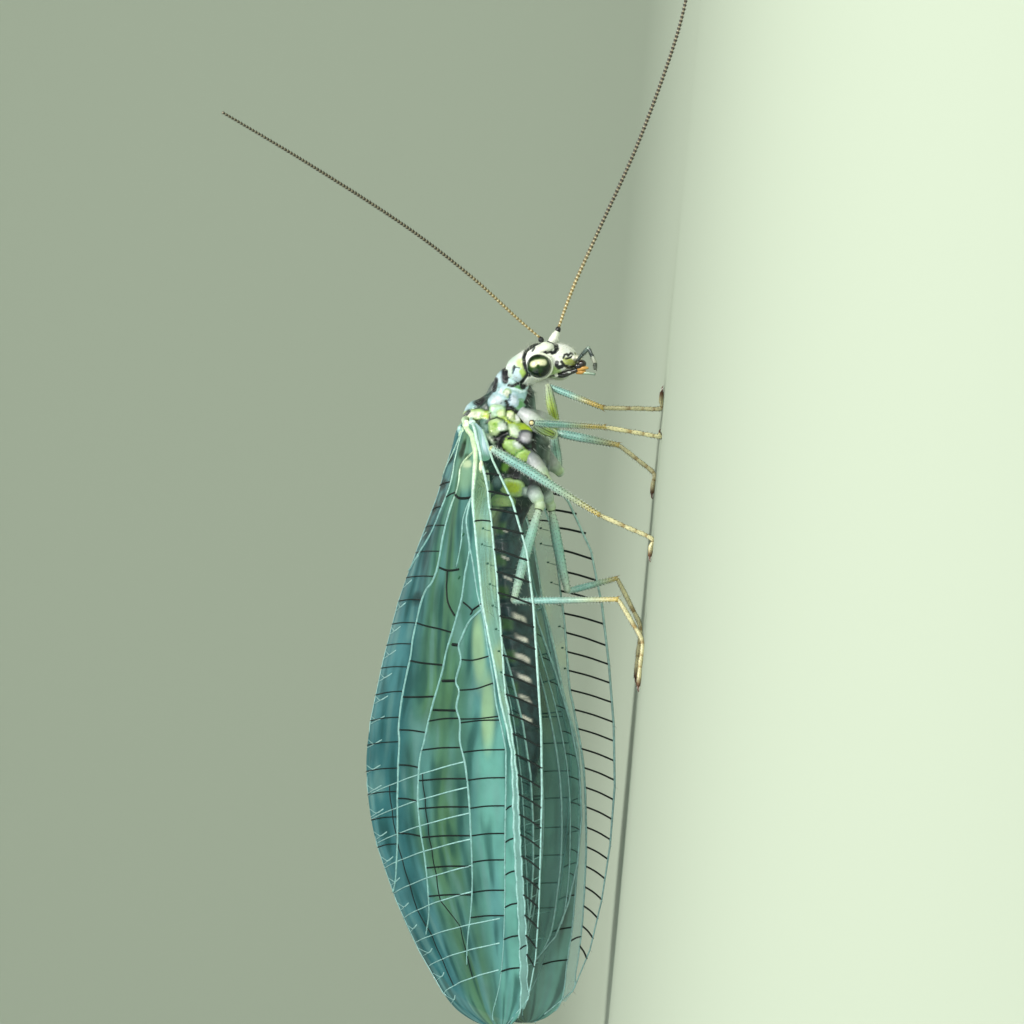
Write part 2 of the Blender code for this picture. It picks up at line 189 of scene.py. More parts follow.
def end_faces(rows, sides):
    """Caps over the first and last row of points."""
    return [tuple(reversed(range(sides))), tuple(range((rows - 1) * sides, rows * sides))]


class Piece:
    """Mesh under construction, with a colour at each vertex."""

    def __init__(self):
        self.points = []
        self.faces = []
        self.tints = []
        self.spots = []

    def add(self, points, faces, tints, spot=None):
        """Adds points and their faces, with one place in the bake map."""
        base = len(self.points)
        self.points.extend(points)
        self.tints.extend(tints)
        self.spots.extend([spot] * len(points))
        self.faces.extend(tuple(base + i for i in face) for face in faces)

    def tube(self, line, radii, sides, tint, end_tint=None, cap=True):
        """Round bar along a line in metres, with radii in millimetres."""
        if len(line) < 2:
            return
        along = (line[1] - line[0]).normalized()
        up = along.orthogonal().normalized()
        points = []
        tints = []
        count = len(line)
        for i, place in enumerate(line):
            ahead = line[min(i + 1, count - 1)] - line[max(i - 1, 0)]
            if ahead.length > 0:
                ahead.normalize()
                up = (up - ahead * up.dot(ahead)).normalized()
                along = ahead
            side = along.cross(up)
            radius = radii[i] if isinstance(radii, (list, tuple)) else radii
            shade = tint[i] if isinstance(tint, list) else tint
            if end_tint is not None:
                shade = mixed(tint, end_tint, i / (count - 1))
            for j in range(sides):
                points.append(place + spoke(up, side, 2 * math.pi * j / sides) * radius * MM)
                tints.append(shade)
        self.add(points, grid_faces(count, sides) + (end_faces(count, sides) if cap else []), tints)

    def hair(self, root, tip, radius, tint, spot=None, sides=3):
        """Tapered bristle."""
        axis = tip - root
        up = axis.orthogonal().normalized()
        side = axis.cross(up).normalized()
        points = []
        for share, place in ((1.0, root), (0.6, root + axis * 0.55)):
            for j in range(sides):
                points.append(place + spoke(up, side, 2 * math.pi * j / sides) * radius * share * MM)
        points.append(tip)
        faces = grid_faces(2, sides)
        faces += [(sides + j, sides + (j + 1) % sides, 2 * sides) for j in range(sides)]
        self.add(points, faces, [tint] * len(points), spot)

    def build(self, name, material, slot, replaces=(), patch_map=False):
        """Makes the mesh on the one body; patch_map keeps each hair's place in the bake map."""
        mesh = bpy.data.meshes.new(name)
        mesh.from_pydata(self.points, [], self.faces)
        mesh.validate()
        layer = mesh.color_attributes.new("tint", "FLOAT_COLOR", "POINT")
        flat = []
        for tint in self.tints:
            flat.extend((tint[0], tint[1], tint[2], 1.0))
        layer.data.foreach_set("color", flat)
        mesh.shade_smooth()
        if patch_map:
            sheet = mesh.uv_layers.new(name="OFBake")
            for polygon in mesh.polygons:
                for n, loop in enumerate(polygon.loop_indices):
                    spot = self.spots[mesh.loops[loop].vertex_index] or (0.5, 0.5)
                    sheet.data[loop].uv = (spot[0] + 0.003 * (n % 2), spot[1] + 0.003 * (n // 2))
        mesh.materials.append(material)
        thing = bpy.data.objects.new(name, mesh)
        bpy.context.scene.collection.objects.link(thing)
        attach(thing, "root")
        if replaces:
            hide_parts(*replaces)


def tint_material(name, roughness, coat, noise_scale, noise_amount, bump, bump_scale=40.0, alpha=1.0,
                  specular=0.5):
    """Vertex colour broken up by mottling and grain, whose scales are to the millimetre."""
    material = bpy.data.materials.new(name)
    material.use_nodes = True
    nodes = material.node_tree.nodes
    links = material.node_tree.links
    shader = nodes["Principled BSDF"]
    colour = nodes.new("ShaderNodeAttribute")
    colour.attribute_name = "tint"
    place = nodes.new("ShaderNodeTexCoord")

    def random_field(scale, detail):
        node = nodes.new("ShaderNodeTexNoise")
        node.inputs["Scale"].default_value = scale * PER_METRE
        node.inputs["Detail"].default_value = detail
        links.new(place.outputs["Object"], node.inputs["Vector"])
        return node.outputs["Fac"]

    mottle = random_field(noise_scale, 4.0)
    spread = nodes.new("ShaderNodeMapRange")
    spread.inputs["From Min"].default_value = 0.3
    spread.inputs["From Max"].default_value = 0.7
    spread.inputs["To Min"].default_value = 1.0 - noise_amount
    spread.inputs["To Max"].default_value = 1.0 + noise_amount
    shade = nodes.new("ShaderNodeVectorMath")
    shade.operation = "SCALE"
    links.new(mottle, spread.inputs["Value"])
    links.new(colour.outputs["Color"], shade.inputs[0])
    links.new(spread.outputs["Result"], shade.inputs["Scale"])
    links.new(shade.outputs["Vector"], shader.inputs["Base Color"])
    if bump:
        grain = random_field(bump_scale, 3.0)
        relief = nodes.new("ShaderNodeBump")
        relief.inputs["Strength"].default_value = bump
        relief.inputs["Distance"].default_value = 0.00001
        links.new(grain, relief.inputs["Height"])
        links.new(relief.outputs["Normal"], shader.inputs["Normal"])
    shader.inputs["Roughness"].default_value = roughness
    shader.inputs["Coat Weight"].default_value = coat
    shader.inputs["Specular IOR Level"].default_value = specular
    shader.inputs["Alpha"].default_value = alpha
    return material


# Wings: length, half spread and height of the front margin, then of the hind margin
FOREWING = (
    (0.6, 0.96, 0.4, 0.8, 0.76), (0.42, 1.08, 0.19, 0.84, 0.89), (0.2, 1.2, 0.07, 0.74, 0.99),
    (-0.11, 1.36, -0.08, 0.62, 1.12), (-0.43, 1.54, -0.28, 0.52, 1.29), (-1.01, 1.84, -0.69, 0.44, 1.54),
    (-1.66, 2.07, -1.03, 0.4, 1.84), (-2.45, 2.2, -1.23, 0.4, 2.17), (-3.23, 2.3, -1.36, 0.4, 2.46),
    (-4.17, 2.4, -1.45, 0.4, 2.73), (-5.08, 2.44, -1.54, 0.4, 2.95), (-5.98, 2.46, -1.6, 0.4, 3.14),
    (-6.88, 2.48, -1.63, 0.4, 3.22), (-8.17, 2.42, -1.58, 0.4, 3.08), (-9.29, 2.24, -1.49, 0.4, 2.72),
    (-10.54, 1.94, -1.33, 0.4, 2.18), (-11.5, 1.62, -1.09, 0.46, 1.56), (-12.05, 1.36, -0.82, 0.58, 1.04),
    (-12.34, 1.12, -0.52, 0.74, 0.5), (-12.45, 0.98, -0.24, 0.86, 0.06),
)
FOREWING_BULGE = (
    (0.6, 0.0), (-0.43, 0.22), (-1.66, 0.5), (-3.2, 0.42), (-5.0, 0.26), (-9.0, 0.18), (-12.45, 0.0),
)
HINDWING = (
    (-0.62, 0.44, 0.56), (-1.2, 0.43, 0.62), (-2.2, 0.4, 0.66), (-3.3, 0.36, 0.7), (-4.6, 0.27, 0.72),
    (-6.0, 0.19, 0.73), (-7.4, 0.15, 0.73), (-8.8, 0.15, 0.71), (-9.8, 0.18, 0.68), (-10.5, 0.23, 0.63),
    (-10.95, 0.31, 0.55), (-11.15, 0.38, 0.48),
)
HINDWING_DEPTH = 0.62
RIDGE_CLOSE = 0.28
BRISTLE_LIFT = 0.015
TIP_LIMIT = -12.38
MAP_REACH = 26.0

# Veins of the forewing: length and fraction of the chord from the front margin
FORE_MAIN = {
    "costa": (0.032, ((0.44, 0.0), (-12.44, 0.0))),
    "subcosta": (0.03, ((0.58, 0.25), (0.34, 0.24), (0.13, 0.202), (-0.13, 0.18), (-0.69, 0.174),
        (-1.03, 0.185), (-1.5, 0.188), (-1.94, 0.193), (-2.6, 0.19), (-3.11, 0.19), (-3.87, 0.182),
        (-5.1, 0.178), (-5.7, 0.16), (-6.9, 0.128), (-8.5, 0.105), (-10.2, 0.08), (-11.3, 0.045),
        (-11.7, 0.0))),
    "radius": (0.038, ((0.58, 0.76), (0.37, 0.432), (0.15, 0.298), (-0.04, 0.25), (-0.3, 0.262),
        (-0.56, 0.299), (-0.82, 0.328), (-1.05, 0.337), (-1.42, 0.328), (-1.94, 0.309), (-2.46, 0.298),
        (-3.2, 0.284), (-3.61, 0.266), (-3.87, 0.253), (-4.47, 0.23), (-4.94, 0.216), (-5.4, 0.2),
        (-6.3, 0.158), (-6.9, 0.148), (-8.5, 0.138), (-10.2, 0.13), (-11.4, 0.11), (-12.2, 0.02))),
    "sector": (0.03, ((-2.1, 0.363), (-2.41, 0.343), (-2.82, 0.328), (-3.12, 0.313), (-3.42, 0.288),
        (-3.72, 0.272), (-4.47, 0.248), (-4.94, 0.234), (-5.4, 0.224), (-6.3, 0.184), (-6.9, 0.18),
        (-8.5, 0.19), (-10.2, 0.225), (-11.4, 0.3), (-12.3, 0.48))),
    "false_media": (0.036, ((-3.43, 0.291), (-3.54, 0.331), (-3.66, 0.368), (-3.85, 0.398), (-4.0, 0.414),
        (-4.21, 0.438), (-4.51, 0.425), (-4.96, 0.454), (-5.18, 0.434), (-5.53, 0.446), (-5.85, 0.424),
        (-6.28, 0.422), (-6.88, 0.39), (-8.0, 0.375), (-9.2, 0.4), (-10.2, 0.47), (-11.1, 0.6))),
    "media": (0.036, ((-0.99, 0.344), (-1.14, 0.374), (-1.5, 0.396), (-1.78, 0.381), (-2.1, 0.365),
        (-2.43, 0.384), (-2.72, 0.404), (-3.21, 0.421), (-3.51, 0.443), (-3.94, 0.479), (-4.32, 0.516),
        (-4.72, 0.541), (-5.09, 0.572), (-5.68, 0.606), (-6.28, 0.632), (-6.67, 0.652), (-7.6, 0.67),
        (-8.8, 0.68), (-9.8, 0.74), (-10.5, 0.86))),
    "cubitus": (0.036, ((-0.03, 0.3), (-0.12, 0.4), (-0.37, 0.535), (-0.65, 0.535), (-0.9, 0.56),
        (-1.16, 0.593), (-1.73, 0.618), (-2.33, 0.627), (-2.62, 0.639), (-2.87, 0.669), (-3.03, 0.712),
        (-3.33, 0.746), (-3.7, 0.762), (-4.06, 0.776), (-4.45, 0.778), (-4.88, 0.794), (-5.38, 0.804),
        (-5.98, 0.8), (-6.43, 0.785), (-7.4, 0.8), (-8.4, 0.84), (-9.2, 0.92), (-9.6, 1.0))),
    "media_fork": (0.022, ((-1.03, 0.37), (-1.25, 0.404), (-1.5, 0.425), (-1.94, 0.426), (-2.25, 0.442),
        (-2.51, 0.46))),
    "anal_one": (0.032, ((0.44, 0.72), (0.19, 0.749), (-0.0, 0.743), (-0.24, 0.709), (-0.47, 0.676),
        (-0.8, 0.684), (-1.14, 0.721), (-1.7, 0.8), (-2.2, 0.9), (-2.6, 1.0))),
    "anal_two": (0.026, ((0.4, 0.8), (0.04, 0.863), (-0.15, 0.897), (-0.34, 0.938), (-0.56, 1.0))),
}
# Single cross veins: joints and radius
SINGLE_VEINS = (
    (((-0.96, 0.573), (-1.03, 0.495), (-1.04, 0.425), (-1.02, 0.361)), 0.03),
    (((-2.53, 0.617), (-2.58, 0.56), (-2.59, 0.498), (-2.56, 0.44)), 0.024),
    (((-2.6, 0.538), (-2.8, 0.536), (-2.97, 0.535), (-3.27, 0.516), (-3.56, 0.462)), 0.024),
    (((-3.27, 0.411), (-3.44, 0.355), (-3.53, 0.366)), 0.022),
    (((-3.44, 0.355), (-3.3, 0.291)), 0.024),
    (((-4.18, 0.477), (-4.19, 0.44)), 0.034),
    (((-4.97, 0.545), (-4.96, 0.456)), 0.03),
    (((-5.6, 0.59), (-5.6, 0.446)), 0.024),
    (((-4.5, 0.425), (-4.51, 0.356), (-4.42, 0.257), (-4.38, 0.252)), 0.018),
    (((-5.16, 0.431), (-5.12, 0.339), (-5.0, 0.243), (-4.99, 0.236)), 0.018),
    (((-5.78, 0.424), (-5.76, 0.32), (-5.7, 0.212)), 0.017),
    (((-3.73, 0.762), (-3.8, 0.661), (-3.85, 0.579), (-3.92, 0.484)), 0.018),
    (((-4.55, 0.781), (-4.6, 0.663), (-4.63, 0.535)), 0.02),
    (((-5.34, 0.797), (-5.33, 0.69), (-5.31, 0.595)), 0.02),
)
# Rows of cross veins: the lanes they join, their places (first and last where a step follows), step,
# slant and radius
CROSS_ROWS = (
    ("sector", "false_media", (-5.8, -10.2), 0.6, -0.08, 0.016),
    ("false_media", "media", (-5.75, -9.8), 0.64, -0.08, 0.017),
    ("media", "cubitus", (-6.1, -8.6), 0.74, 0.04, 0.017),
    ("cubitus", 1.0, (-1.62, -2.18, -2.72, -3.23, -3.73, -4.19, -4.69), 0, -0.04, 0.014),
    ("cubitus", 1.0, (-5.2, -8.8), 0.55, -0.1, 0.014),
    ("subcosta", "radius", (-1.53,), 0, 0.0, 0.018),
    ("cubitus", "anal_one", (-0.9,), 0, -0.12, 0.018),
    ("anal_one", 1.0, (-0.68,), 0, -0.08, 0.018),
    ("anal_one", 1.0, (-1.2,), 0, -0.1, 0.018),
    ("subcosta", "radius", (-10.6,), 0, -0.1, 0.018),
    ("radius", "sector", (-7.6, -8.3, -9.0, -9.7, -10.4, -11.1), 0, -0.1, 0.018),
)
HIND_ROWS = (
    ("subcosta", "costa", (-1.4, -9.9), 0.52, -0.1, 0.012),
    ("sector", "false_media", (-3.2, -9.8), 0.62, -0.1, 0.012),
    ("false_media", "media", (-3.4, -8.8), 0.62, -0.08, 0.012),
    ("media", 1.0, (-1.8, -8.9), 0.62, -0.12, 0.012),
)
# Cross veins of the front margin: length and slant
COSTAL_STEPS = (
    (-0.516, -0.03), (-0.892, -0.09), (-1.275, -0.1), (-1.66, -0.14), (-2.13, -0.24), (-2.61, -0.23),
    (-3.06, -0.25), (-3.55, -0.24), (-3.97, -0.29), (-4.39, -0.28), (-4.8, -0.28),
)
HIND_MAIN = {
    "costa": (0.03, ((-0.66, 0.0), (-11.1, 0.0))),
    "subcosta": (0.022, ((-0.7, 0.08), (-2.0, 0.09), (-5.0, 0.085), (-8.5, 0.075), (-10.3, 0.0))),
    "radius": (0.03, ((-0.7, 0.16), (-2.0, 0.17), (-5.0, 0.15), (-8.5, 0.14), (-10.0, 0.12),
        (-11.0, 0.05))),
    "sector": (0.024, ((-1.6, 0.18), (-3.0, 0.23), (-5.0, 0.25), (-8.5, 0.28), (-10.2, 0.36),
        (-11.05, 0.5))),
    "false_media": (0.026, ((-2.3, 0.22), (-3.4, 0.45), (-5.0, 0.5), (-7.5, 0.5), (-9.4, 0.56),
        (-10.4, 0.74))),
    "media": (0.026, ((-0.8, 0.3), (-2.0, 0.42), (-3.2, 0.62), (-5.0, 0.72), (-7.0, 0.76), (-8.6, 0.86),
        (-9.3, 1.0))),
    "cubitus": (0.024, ((-0.8, 0.5), (-1.8, 0.68), (-3.0, 0.84), (-4.4, 0.92), (-5.6, 1.0))),
    "anal": (0.02, ((-0.8, 0.75), (-1.5, 0.88), (-2.3, 1.0))),
}
# Dark dots of the strip behind the second vein: length and share of the strip's width
STRIP_DOTS = (
    (-1.68, 0.46), (-2.02, 0.62), (-2.43, 0.42), (-2.87, 0.4), (-3.33, 0.36), (-3.83, 0.34), (-4.3, 0.32),
    (-4.75, 0.3),
)
VEIN_PALE = (0.3, 0.55, 0.52)
VEIN_BASE = (0.58, 0.74, 0.44)
VEIN_DARK = (0.006, 0.012, 0.01)
MEMBRANE = (0.054, 0.155, 0.128)
MEMBRANE_GREEN = (0.07, 0.165, 0.065)
MEMBRANE_DEEP = (0.026, 0.115, 0.125)
MEMBRANE_PALE = (0.115, 0.32, 0.27)
# Dark and pale blotches of the sheet, the dark green ones at the root being painted shade between the root
# veins: length and chord fraction, then reach of each, colour and cover
SHEET_BLOTCHES_AND_SHADE = (
    (0.1, 0.58, 0.16, 0.09, (0.002, 0.02, 0.008), 1.0),
    (-0.06, 0.6, 0.14, 0.085, (0.002, 0.018, 0.008), 1.0),
    (-0.15, 0.44, 0.1, 0.07, (0.004, 0.04, 0.015), 1.0),
    (-0.18, 0.9, 0.15, 0.11, (0.002, 0.02, 0.022), 1.0),
    (-0.74, 0.89, 0.17, 0.1, (0.002, 0.02, 0.022), 1.0),
    (-1.06, 0.8, 0.17, 0.08, (0.004, 0.028, 0.028), 0.9),
    (-1.26, 0.92, 0.18, 0.08, (0.002, 0.02, 0.022), 1.0),
    (-1.76, 0.9, 0.19, 0.075, (0.003, 0.024, 0.026), 0.9),
    (-0.52, 0.44, 0.42, 0.11, (0.24, 0.42, 0.26), 0.65), (-0.3, 0.42, 0.1, 0.09, (0.5, 0.62, 0.38), 0.85),
    (-2.2, 0.8, 0.5, 0.06, (0.004, 0.036, 0.036), 0.75),
    (-3.2, 0.8, 0.18, 0.07, (0.004, 0.03, 0.03), 0.85),
    (-3.3, 0.6, 0.55, 0.05, (0.012, 0.06, 0.035), 0.55),
    (-4.3, 0.315, 0.95, 0.05, (0.27, 0.43, 0.24), 0.8), (-5.6, 0.27, 1.0, 0.045, (0.27, 0.43, 0.24), 0.8),
)


def fore_section(length, part):
    """Half spread and height of the forewing's sheet."""
    front = Vector((between(FOREWING, length, 1), between(FOREWING, length, 2)))
    hind = Vector((between(FOREWING, length, 3), between(FOREWING, length, 4)))
    hind.x -= RIDGE_CLOSE * eased(0.0, -1.6, length) * eased(-12.4, -11.0, length)
    chord = hind - front
    outward = Vector((chord.y, -chord.x)).normalized()
    bulge = between(FOREWING_BULGE, length, 1) * 4 * part * (1 - part)
    return front + chord * part + outward * bulge, outward


class Wing:
    """Sheet of one wing, addressed by length and fraction of its own chord."""

    def __init__(self, side, hind, veins):
        self.side = side
        self.hind = hind
        self.veins = veins

    def lane(self, name, length):
        """Fraction of the chord at which a vein lies."""
        return between(self.veins[name][1], length, 1)

    def spot(self, length, part):
        """Place and outward normal in millimetres, before any relief."""
        whole = part
        if self.hind:
            front = between(HINDWING, length, 1)
            whole = front + (between(HINDWING, length, 2) - front) * part
        place, outward = fore_section(length, whole)
        if self.hind:
            place = place - outward * HINDWING_DEPTH
        return (Vector((length, self.side * place.x, place.y)),
                Vector((0.0, self.side * outward.x, outward.y)))

    def relief(self, length, part):
        """Pleats between the long veins and soft buckles between the front cross veins."""
        pleat = 0.018 * math.sin(part * math.pi * 9 + 0.6)
        pleat += 0.01 * noise.noise(Vector((length * 1.3, part * 7.0, self.side * 3.0 + self.hind * 9.0)))
        if not self.hind and part < 0.2:
            phase = (length + 0.5 - part * 1.25) / 0.455
            buckle = 0.016 * math.cos(2 * math.pi * phase)
            pleat += buckle * eased(0.0, 0.06, part) * eased(0.21, 0.12, part)
        return pleat * eased(0.0, 0.03, part) * eased(1.0, 0.97, part)

    def place(self, length, part):
        """Place on the finished sheet, in metres."""
        place, outward = self.spot(length, part)
        return body(place + outward * self.relief(length, part))


def lane_points(wing, joints, step=0.07):
    """Even line through joints of length and chord fraction."""
    flat = spline([Vector((j[0], j[1], 0.0)) for j in joints], 12)
    points = [flat[0]]
    for spot in flat[1:]:
        if abs(spot.x - points[-1].x) + 4 * abs(spot.y - points[-1].y) >= step:
            points.append(spot)
    if (points[-1] - flat[-1]).length > 0.001:
        points.append(flat[-1])
    return [(p.x, min(max(p.y, 0.0), 1.0)) for p in points]


def vein(piece, wing, joints, radius, tint, end_tint=None, sides=6, taper=0.6, step=0.07):
    """Tube along the sheet that thins towards its end; returns the places on its line."""
    spots = lane_points(wing, joints, step)
    line = [wing.place(length, part) for length, part in spots]
    count = len(line)
    radii = [radius * (1 - (1 - taper) * i / max(count - 1, 1)) for i in range(count)]
    piece.tube(line, radii, sides, tint, end_tint)
    return spots


def bristles(piece, wing, spots, rng, tint, length, radius, chance=0.8):
    """Short hairs that stand off a vein."""
    for i in range(len(spots) - 1):
        if rng.random() > chance:
            continue
        share = rng.random()
        spot = (spots[i][0] + (spots[i + 1][0] - spots[i][0]) * share,
                spots[i][1] + (spots[i + 1][1] - spots[i][1]) * share)
        middle, outward = wing.spot(*spot)
        outward = outward * (1 if rng.random() < 0.8 else -1)
        base = middle + outward * (wing.relief(*spot) + BRISTLE_LIFT)
        lean = Vector((-0.6 - 0.5 * rng.random(), rng.uniform(-0.5, 0.5), rng.uniform(-0.5, 0.5)))
        size = length * rng.uniform(0.6, 1.2)
        tip = base + (outward + lean).normalized() * size
        piece.hair(body(base), body(tip), radius, tint, map_spot(0.5 - spot[0] / MAP_REACH, spot[1]))


def cross_rows(first, last, step, rng, wobble=0.03):
    """Lengths at even steps, each a little off its place."""
    places = []
    length = first
    while length > last:
        places.append(length + rng.uniform(-wobble, wobble))
        length -= step
    return places


def crossing(wing, a, b, length, slant):
    """Joints of a cross vein from lane a to lane b."""
    start = a if isinstance(a, float) else wing.lane(a, length)
    end = b if isinstance(b, float) else wing.lane(b, length + slant)
    middle = (length + 0.5 * slant + 0.02, 0.5 * (start + end))
    return ((length, start), middle, (length + slant, end))


def row_veins(wing, table, rng):
    """Joints and radius of each cross vein of a table of rows."""
    rows = []
    for a, b, places, step, slant, radius in table:
        for length in cross_rows(*places, step, rng) if step else places:
            rows.append((crossing(wing, a, b, length, slant), radius))
    return rows


def aged(part):
    """Vein colour part of the way from pale to dark."""
    return mixed(VEIN_PALE, VEIN_DARK, part)


def sheet_tint(wing, length, share):
    """Teal along the back edge, olive in the middle, paler in front and at the root."""
    haze = cloud(length * 0.7, share * 2.5, 4.0 + wing.side)
    streak = cloud(length * 0.35, share * 11.0, 9.0 + wing.hind)
    tint = mixed(MEMBRANE_PALE, MEMBRANE, eased(0.26, 0.42, share))
    middle = eased(0.36, 0.5, share) * eased(0.8, 0.66, share)
    tint = mixed(tint, MEMBRANE_GREEN, (0.35 + 0.45 * haze) * middle)
    tint = mixed(tint, MEMBRANE_DEEP, 0.95 * eased(0.6, 0.82, share))
    tint = mixed(tint, (0.075, 0.22, 0.235), 0.6 * eased(0.45, 0.75, streak))
    tint = mixed(tint, (0.16, 0.32, 0.2), 0.55 * eased(-1.3, 0.2, length) * eased(0.75, 0.45, share))
    fine = cloud(length * 0.9, share * 20.0, 21.0 + wing.side)
    tint = mixed(tint, (0.008, 0.05, 0.046), 0.65 * eased(0.5, 0.72, fine))
    tint = mixed(tint, (0.115, 0.25, 0.23), 0.5 * eased(0.44, 0.24, fine))
    if not wing.hind:
        # Blotches; the dark green ones at the root are painted shade between the root veins.
        for place, middle, long_reach, wide_reach, colour, cover in SHEET_BLOTCHES_AND_SHADE:
            away = math.hypot((length - place) / long_reach, (share - middle) / wide_reach)
            tint = mixed(tint, colour, cover * eased(1.15, 0.45, away))
    return tint


def root_tint(wing, length, share):
    """Pale blue along the front edge of the root film, greener behind and at its tip."""
    streak = cloud(length * 2.0, share * 26.0, 6.0)
    tint = mixed((0.32, 0.5, 0.54), (0.15, 0.34, 0.26), eased(0.05, 0.22, share))
    tint = mixed(tint, (0.56, 0.7, 0.72), 0.8 * eased(0.48, 0.72, streak))
    return mixed(tint, (0.06, 0.2, 0.11), 0.85 * eased(0.04, -0.18, length))


def strip_tint(wing, length, share):
    """Soft pale green with lighter and yellower clouds."""
    haze = cloud(length * 1.6, share * 8.0, 2.0)
    tint = mixed((0.24, 0.48, 0.38), (0.38, 0.58, 0.34), eased(0.35, 0.75, haze))
    tint = mixed(tint, (0.08, 0.2, 0.08), 0.7 * eased(-1.5, -0.9, length))
    return mixed(tint, (0.26, 0.52, 0.47), eased(-4.5, -7.5, length))


def membrane(wing, name, stations, columns, material, node=None, reach=(0.0, 1.0), span=None,
             tint=sheet_tint, rounded=0.0):
    """Sheet between two lanes; each end of the reach is a fraction or a vein's name."""
    piece = Piece()
    points = []
    tints = []
    first = wing.veins["costa"][1][0][0] + (0.0 if wing.hind else 0.14)
    last = wing.veins["costa"][1][-1][0] - 0.01
    if span:
        first, last = span
    for i in range(stations):
        part = i / (stations - 1)
        length = first + (last - first) * (part - (0.0 if span else 0.05 * math.sin(2 * math.pi * part)))
        near, far = (wing.lane(lane, length) if isinstance(lane, str) else lane for lane in reach)
        if rounded and length < last + rounded:
            narrow = 1 - math.sqrt(max(1 - ((last + rounded - length) / rounded) ** 2, 0.0))
            near, far = (near + 0.5 * (far - near) * narrow, far - 0.5 * (far - near) * narrow)
        for j in range(columns):
            share = near + (far - near) * j / (columns - 1)
            points.append(wing.place(length, share))
            tints.append(tint(wing, length, share))
    piece.add(points, grid_faces(stations, columns, False), tints)
    piece.build(name, material, "wings", (node,) if node else ())


